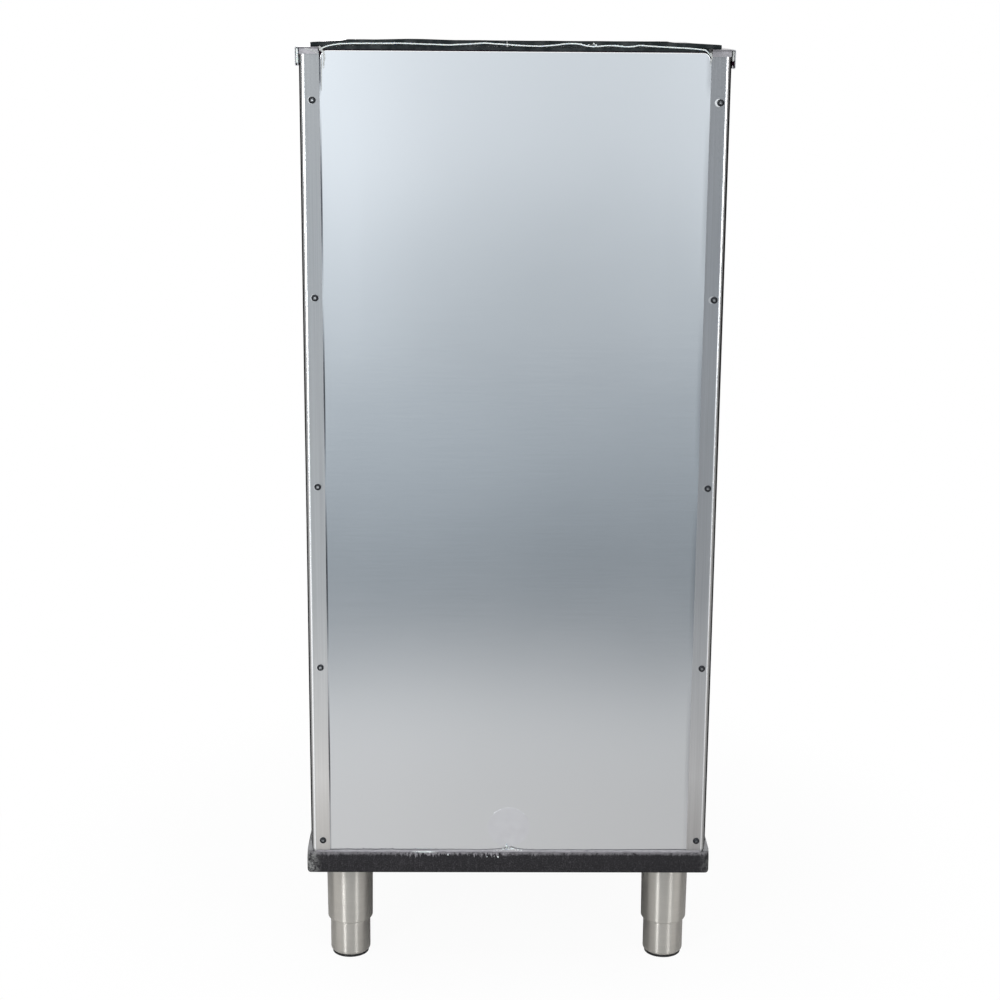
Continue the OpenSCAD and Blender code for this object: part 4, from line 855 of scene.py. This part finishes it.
skin = moulding.mix(corner * scuff.step(0.42, 0.62) * 0.9, skin, (0.26, 0.265, 0.26))
moulding.set(base_color=moulding.mix(ear * (scuff * 0.6 + 0.6), skin, (0.24, 0.24, 0.245)),
             roughness=coarse * 0.3 + 0.45)
moulding.bump(coarse * 0.5 + pits * 0.2 + speck * 0.3, 0.0014, 0.85)
dress(moulding, "base")

sealant = Finish("grey_sealant", roughness=0.5)
blots = sealant.noise(150.0, 5.0, 0.7)
bits = sealant.noise(520.0, 3.0, 0.6)
up = sealant.axis(2)
sealant_and_painted_light = sealant.mix(blots.step(0.34, 0.66), (0.20, 0.195, 0.21), (0.34, 0.33, 0.355))
# Painted shade and highlight: the fillet is darker along its lower part and lighter along its top,
# as if lit from above.
sealant_and_painted_light = sealant.mix(up.step(0.1802, 0.1818), (0.17, 0.165, 0.18), sealant_and_painted_light)
sealant_and_painted_light = sealant.mix(up.step(0.1812, 0.1824), sealant_and_painted_light, (0.33, 0.325, 0.34))
sealant.set(base_color=sealant.mix(bits.step(0.64, 0.74) * 0.7, sealant_and_painted_light, (0.66, 0.65, 0.67)))
sealant.bump(blots * 0.6 + bits * 0.4, 0.0012, 0.7)
steps, around = 640, 20
rim_y, rim_z, rim_half = 0.4172, 0.1803, 0.2668
x = np.linspace(-rim_half, rim_half, steps)
turn = full_turn(around)
reach_out = 0.0046 + 0.0009 * ripple(x * 2, 14, 43)
climb = 0.0021 + 0.0008 * ripple(x * 2, 16, 41) + 0.0034 * np.exp(-((x + 0.002) / 0.016) ** 2)
points = np.stack([np.broadcast_to(x[:, None], (steps, around)),
                   rim_y + reach_out[:, None] * np.cos(turn) * np.abs(np.cos(turn)) ** 0.5,
                   rim_z + climb[:, None] * np.sin(turn) * np.abs(np.sin(turn)) ** 0.5], axis=-1)
points[..., 1:] = np.maximum(points[..., 1:], (rim_y - sliver, rim_z - sliver))
fillet = sheet_mesh("sealant_smear", points, sealant.material, "cabinet",
                    close=True)
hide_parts("base_sealant")

steps = 50
x = np.linspace(0.0975, 0.1340, steps)
streak = np.stack([x, np.full(steps, 0.4214), 0.1808 + 0.0003 * ripple(x * 6, 7, 3)], axis=-1)
thin = np.sin(np.linspace(0.05, np.pi - 0.05, steps)) ** 0.6 * (0.6 + 0.4 * ripple(x * 14, 9, 4))
cord_mesh("sealant_streak", streak, 0.0011 * np.clip(thin, 0.15, 1.1), adhesive.material)
heaped = 70
heap_x, heap_z = np.random.default_rng(23).normal(0.0, 1.0, (2, heaped))
heap = np.stack([-0.001 + 0.0075 * heap_x, np.full(heaped, 0.4194),
                 0.1822 + np.abs(heap_z) * 0.0022 * np.exp(-heap_x ** 2 / 2)], axis=-1)
crumbs("white_crumbs_rear", heap, 0.0004 + 0.0003 * np.abs(heap_z), adhesive, 29)
crumbs("white_dots_rear", [(0.0298, 0.4230, 0.1745), (0.0145, 0.4230, 0.1742),
                           (0.0200, 0.4230, 0.1752), (0.0840, 0.4228, 0.1773)],
       [0.0009, 0.0009, 0.0006, 0.0010], adhesive, 31)
chance, scattered = np.random.default_rng(17), 60
spread = chance.uniform(0, 1, (scattered, 3))
x = np.where(spread[:, 0] < 0.5, chance.normal(0.0, 0.012, scattered),
             -0.262 + 0.52 * spread[:, 1])
places = np.stack([x, 0.4206 + 0.0018 * spread[:, 2], 0.1806 + 0.0012 * spread[:, 0]], axis=-1)
crumbs("sealant_crumbs", places, 0.0003 + 0.0005 * spread[:, 1] ** 2, sealant, 19)


# Legs and feet. Spun stainless tubes with a fine turned finish; the foot screws out of the
# tube and stands on a black rubber pad.
turned = brushed("turned_leg_steel", (0.49, 0.47, 0.435), (60, 60, 900))
turned.set(anisotropic=0.97, anisotropic_rotation=0.25, roughness=0.39)
corners = ("rear_left", "rear_right", "front_left", "front_right")
dress(turned, *["leg_" + c for c in corners], *["foot_" + c for c in corners])
rubber = Finish("black_rubber", roughness=0.7, specular_ior_level=0.3)
dust = rubber.noise(200.0, 4.0, 0.6)
rubber.set(base_color=rubber.mix(dust.step(0.4, 0.8) * 0.6,
                                 (0.012, 0.012, 0.013), (0.06, 0.06, 0.06)))
rubber.bump(dust, 0.0003, 0.5)
dress(rubber, *["pad_" + c for c in corners], "drain_washer")
zinc = brushed("zinc_plated_steel", (0.27, 0.275, 0.285), (300, 300, 300), 0.46)
dress(zinc, "leg_sockets", "leg_guides", "hinge_brackets", "hinge_pins", "baffle_pins",
      "drain_strainer")


# Liner, baffle and door liner. White food-grade polyethylene, rotation moulded: a soft sheen
# with a faint orange peel and cloudy wear.
def plastic(name, colour, roughness, peel):
    """Moulded plastic: a fine orange peel for the skin and cloudy wear in colour and sheen."""
    finish = Finish(name, specular_ior_level=0.45)
    skin = finish.noise(peel, 3.0, 0.5)
    rubbed = finish.noise(6.0, 5.0, 0.65)
    wear = 0.12
    faded = [c * (1 - wear) for c in colour]
    finish.set(base_color=finish.mix(rubbed.step(0.35, 0.75), colour, faded),
               roughness=(rubbed - 0.5) * 0.15 + (skin - 0.5) * 0.1 + roughness)
    finish.bump(skin, 0.0004, 0.35)
    return finish


dress(plastic("white_polyethylene", (0.80, 0.815, 0.82), 0.42, 260.0),
      "liner", "baffle", "door_liner", "hinge_bushes")
core = Finish("foam_core", roughness=0.95, base_color=(0.78, 0.68, 0.42))
bubble = core.cells(900.0)
core.set(base_color=core.mix(bubble, (0.70, 0.60, 0.36), (0.84, 0.75, 0.50)))
core.bump(bubble, 0.0006, 0.6)
dress(core, "insulation", "door_foam")


# Door, bezel and handle. Charcoal moulded door skin on a black frame, with a black grip; the
# skin has a fine leather-like texture from the mould.
def textured(name, colour, roughness, cell):
    """Moulded skin with a pebbled texture: cell edges raise the surface between small pits."""
    finish = Finish(name, specular_ior_level=0.4)
    pebble = finish.cells(cell, "DISTANCE_TO_EDGE")
    dusty = finish.noise(9.0, 5.0, 0.6)
    clean = [min(1, c * 1.25 + 0.006) for c in colour]
    finish.set(base_color=finish.mix(dusty.step(0.35, 0.8) * 0.3, colour, clean),
               roughness=(dusty - 0.5) * 0.06 + roughness)
    finish.bump(pebble.step(0.0, 0.35), 0.0002, 0.5)
    return finish


dress(textured("charcoal_door_skin", (0.085, 0.09, 0.098), 0.42, 700.0), "door_shell")
dress(textured("black_frame_plastic", (0.022, 0.022, 0.025), 0.48, 900.0), "bezel", "door_handle")
dress(plastic("black_fitting_plastic", (0.025, 0.025, 0.027), 0.4, 300.0),
      "drain_fitting", "drain_nut")
dress(blackened, "bezel_screws", "hinge_screws")
dress(zinc, "handle_screws")


# Door gasket. Extruded black rubber bulb in a frame round the opening, pushed into the door
# liner; it stays just clear of the lip that it closes on.
slope_top, slope_turn = np.array([0, -0.198947, 1.190701]), math.radians(19.6084)
down_slope = np.array([0, -math.sin(slope_turn), -math.cos(slope_turn)])
off_slope = np.array([0, -math.cos(slope_turn), math.sin(slope_turn)])


def rounded_path(low, high, radius, count):
    """Points and outward directions evenly spaced round a rectangle with round corners: the four
    arcs are joined by straight runs, and the whole is read off by its running length."""
    corners = np.array([[high[0], high[1]], [low[0], high[1]], [low[0], low[1]], [high[0], low[1]]])
    inset = np.array([[-1, -1], [1, -1], [1, 1], [-1, 1]]) * radius
    angle = np.linspace(0, np.pi / 2, 13) + np.arange(4)[:, None] * np.pi / 2
    out = np.stack([np.cos(angle), np.sin(angle)], axis=-1)
    at = (corners + inset)[:, None] + radius * out
    at, out = (np.concatenate([v.reshape(-1, 2), v[0, :1]]) for v in (at, out))
    run = np.concatenate([[0], np.cumsum(np.linalg.norm(np.diff(at, axis=0), axis=1))])
    places = np.linspace(0, run[-1], count, endpoint=False)
    at, out = (np.stack([np.interp(places, run, v[:, k]) for k in (0, 1)], axis=-1)
               for v in (at, out))
    return at, unit(out)


opening_low, opening_high, opening_r, steps = (-0.201, 0.069), (0.201, 0.421), 0.036, 300
bulb_half, bulb_rise, stand_off = 0.0048, 0.0022, 0.01465
path, outward = rounded_path(opening_low, opening_high, opening_r, steps)
turn = full_turn(36)
breadth = bulb_half * np.sign(np.cos(turn)) * np.abs(np.cos(turn)) ** 0.7
crest = np.sin(turn) * (1 - 0.22 * np.exp(-(np.cos(turn) / 0.22) ** 2))
bulb = path[:, None] + outward[:, None] * breadth[None, :, None]
uneven = 0.00008 * ripple(np.linspace(0, 12, steps), 6, 61)
stand = stand_off + bulb_rise * crest[None, :] + uneven[:, None]
skin = (slope_top + bulb[..., :1] * np.array([1.0, 0, 0]) + bulb[..., 1:] * down_slope
        + stand[..., None] * off_slope)
gasket = sheet_mesh("door_gasket_bulb", skin, rubber.material, "door", loop=True)
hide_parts("door_gasket")

bpy.context.scene.view_settings.view_transform = "Standard"
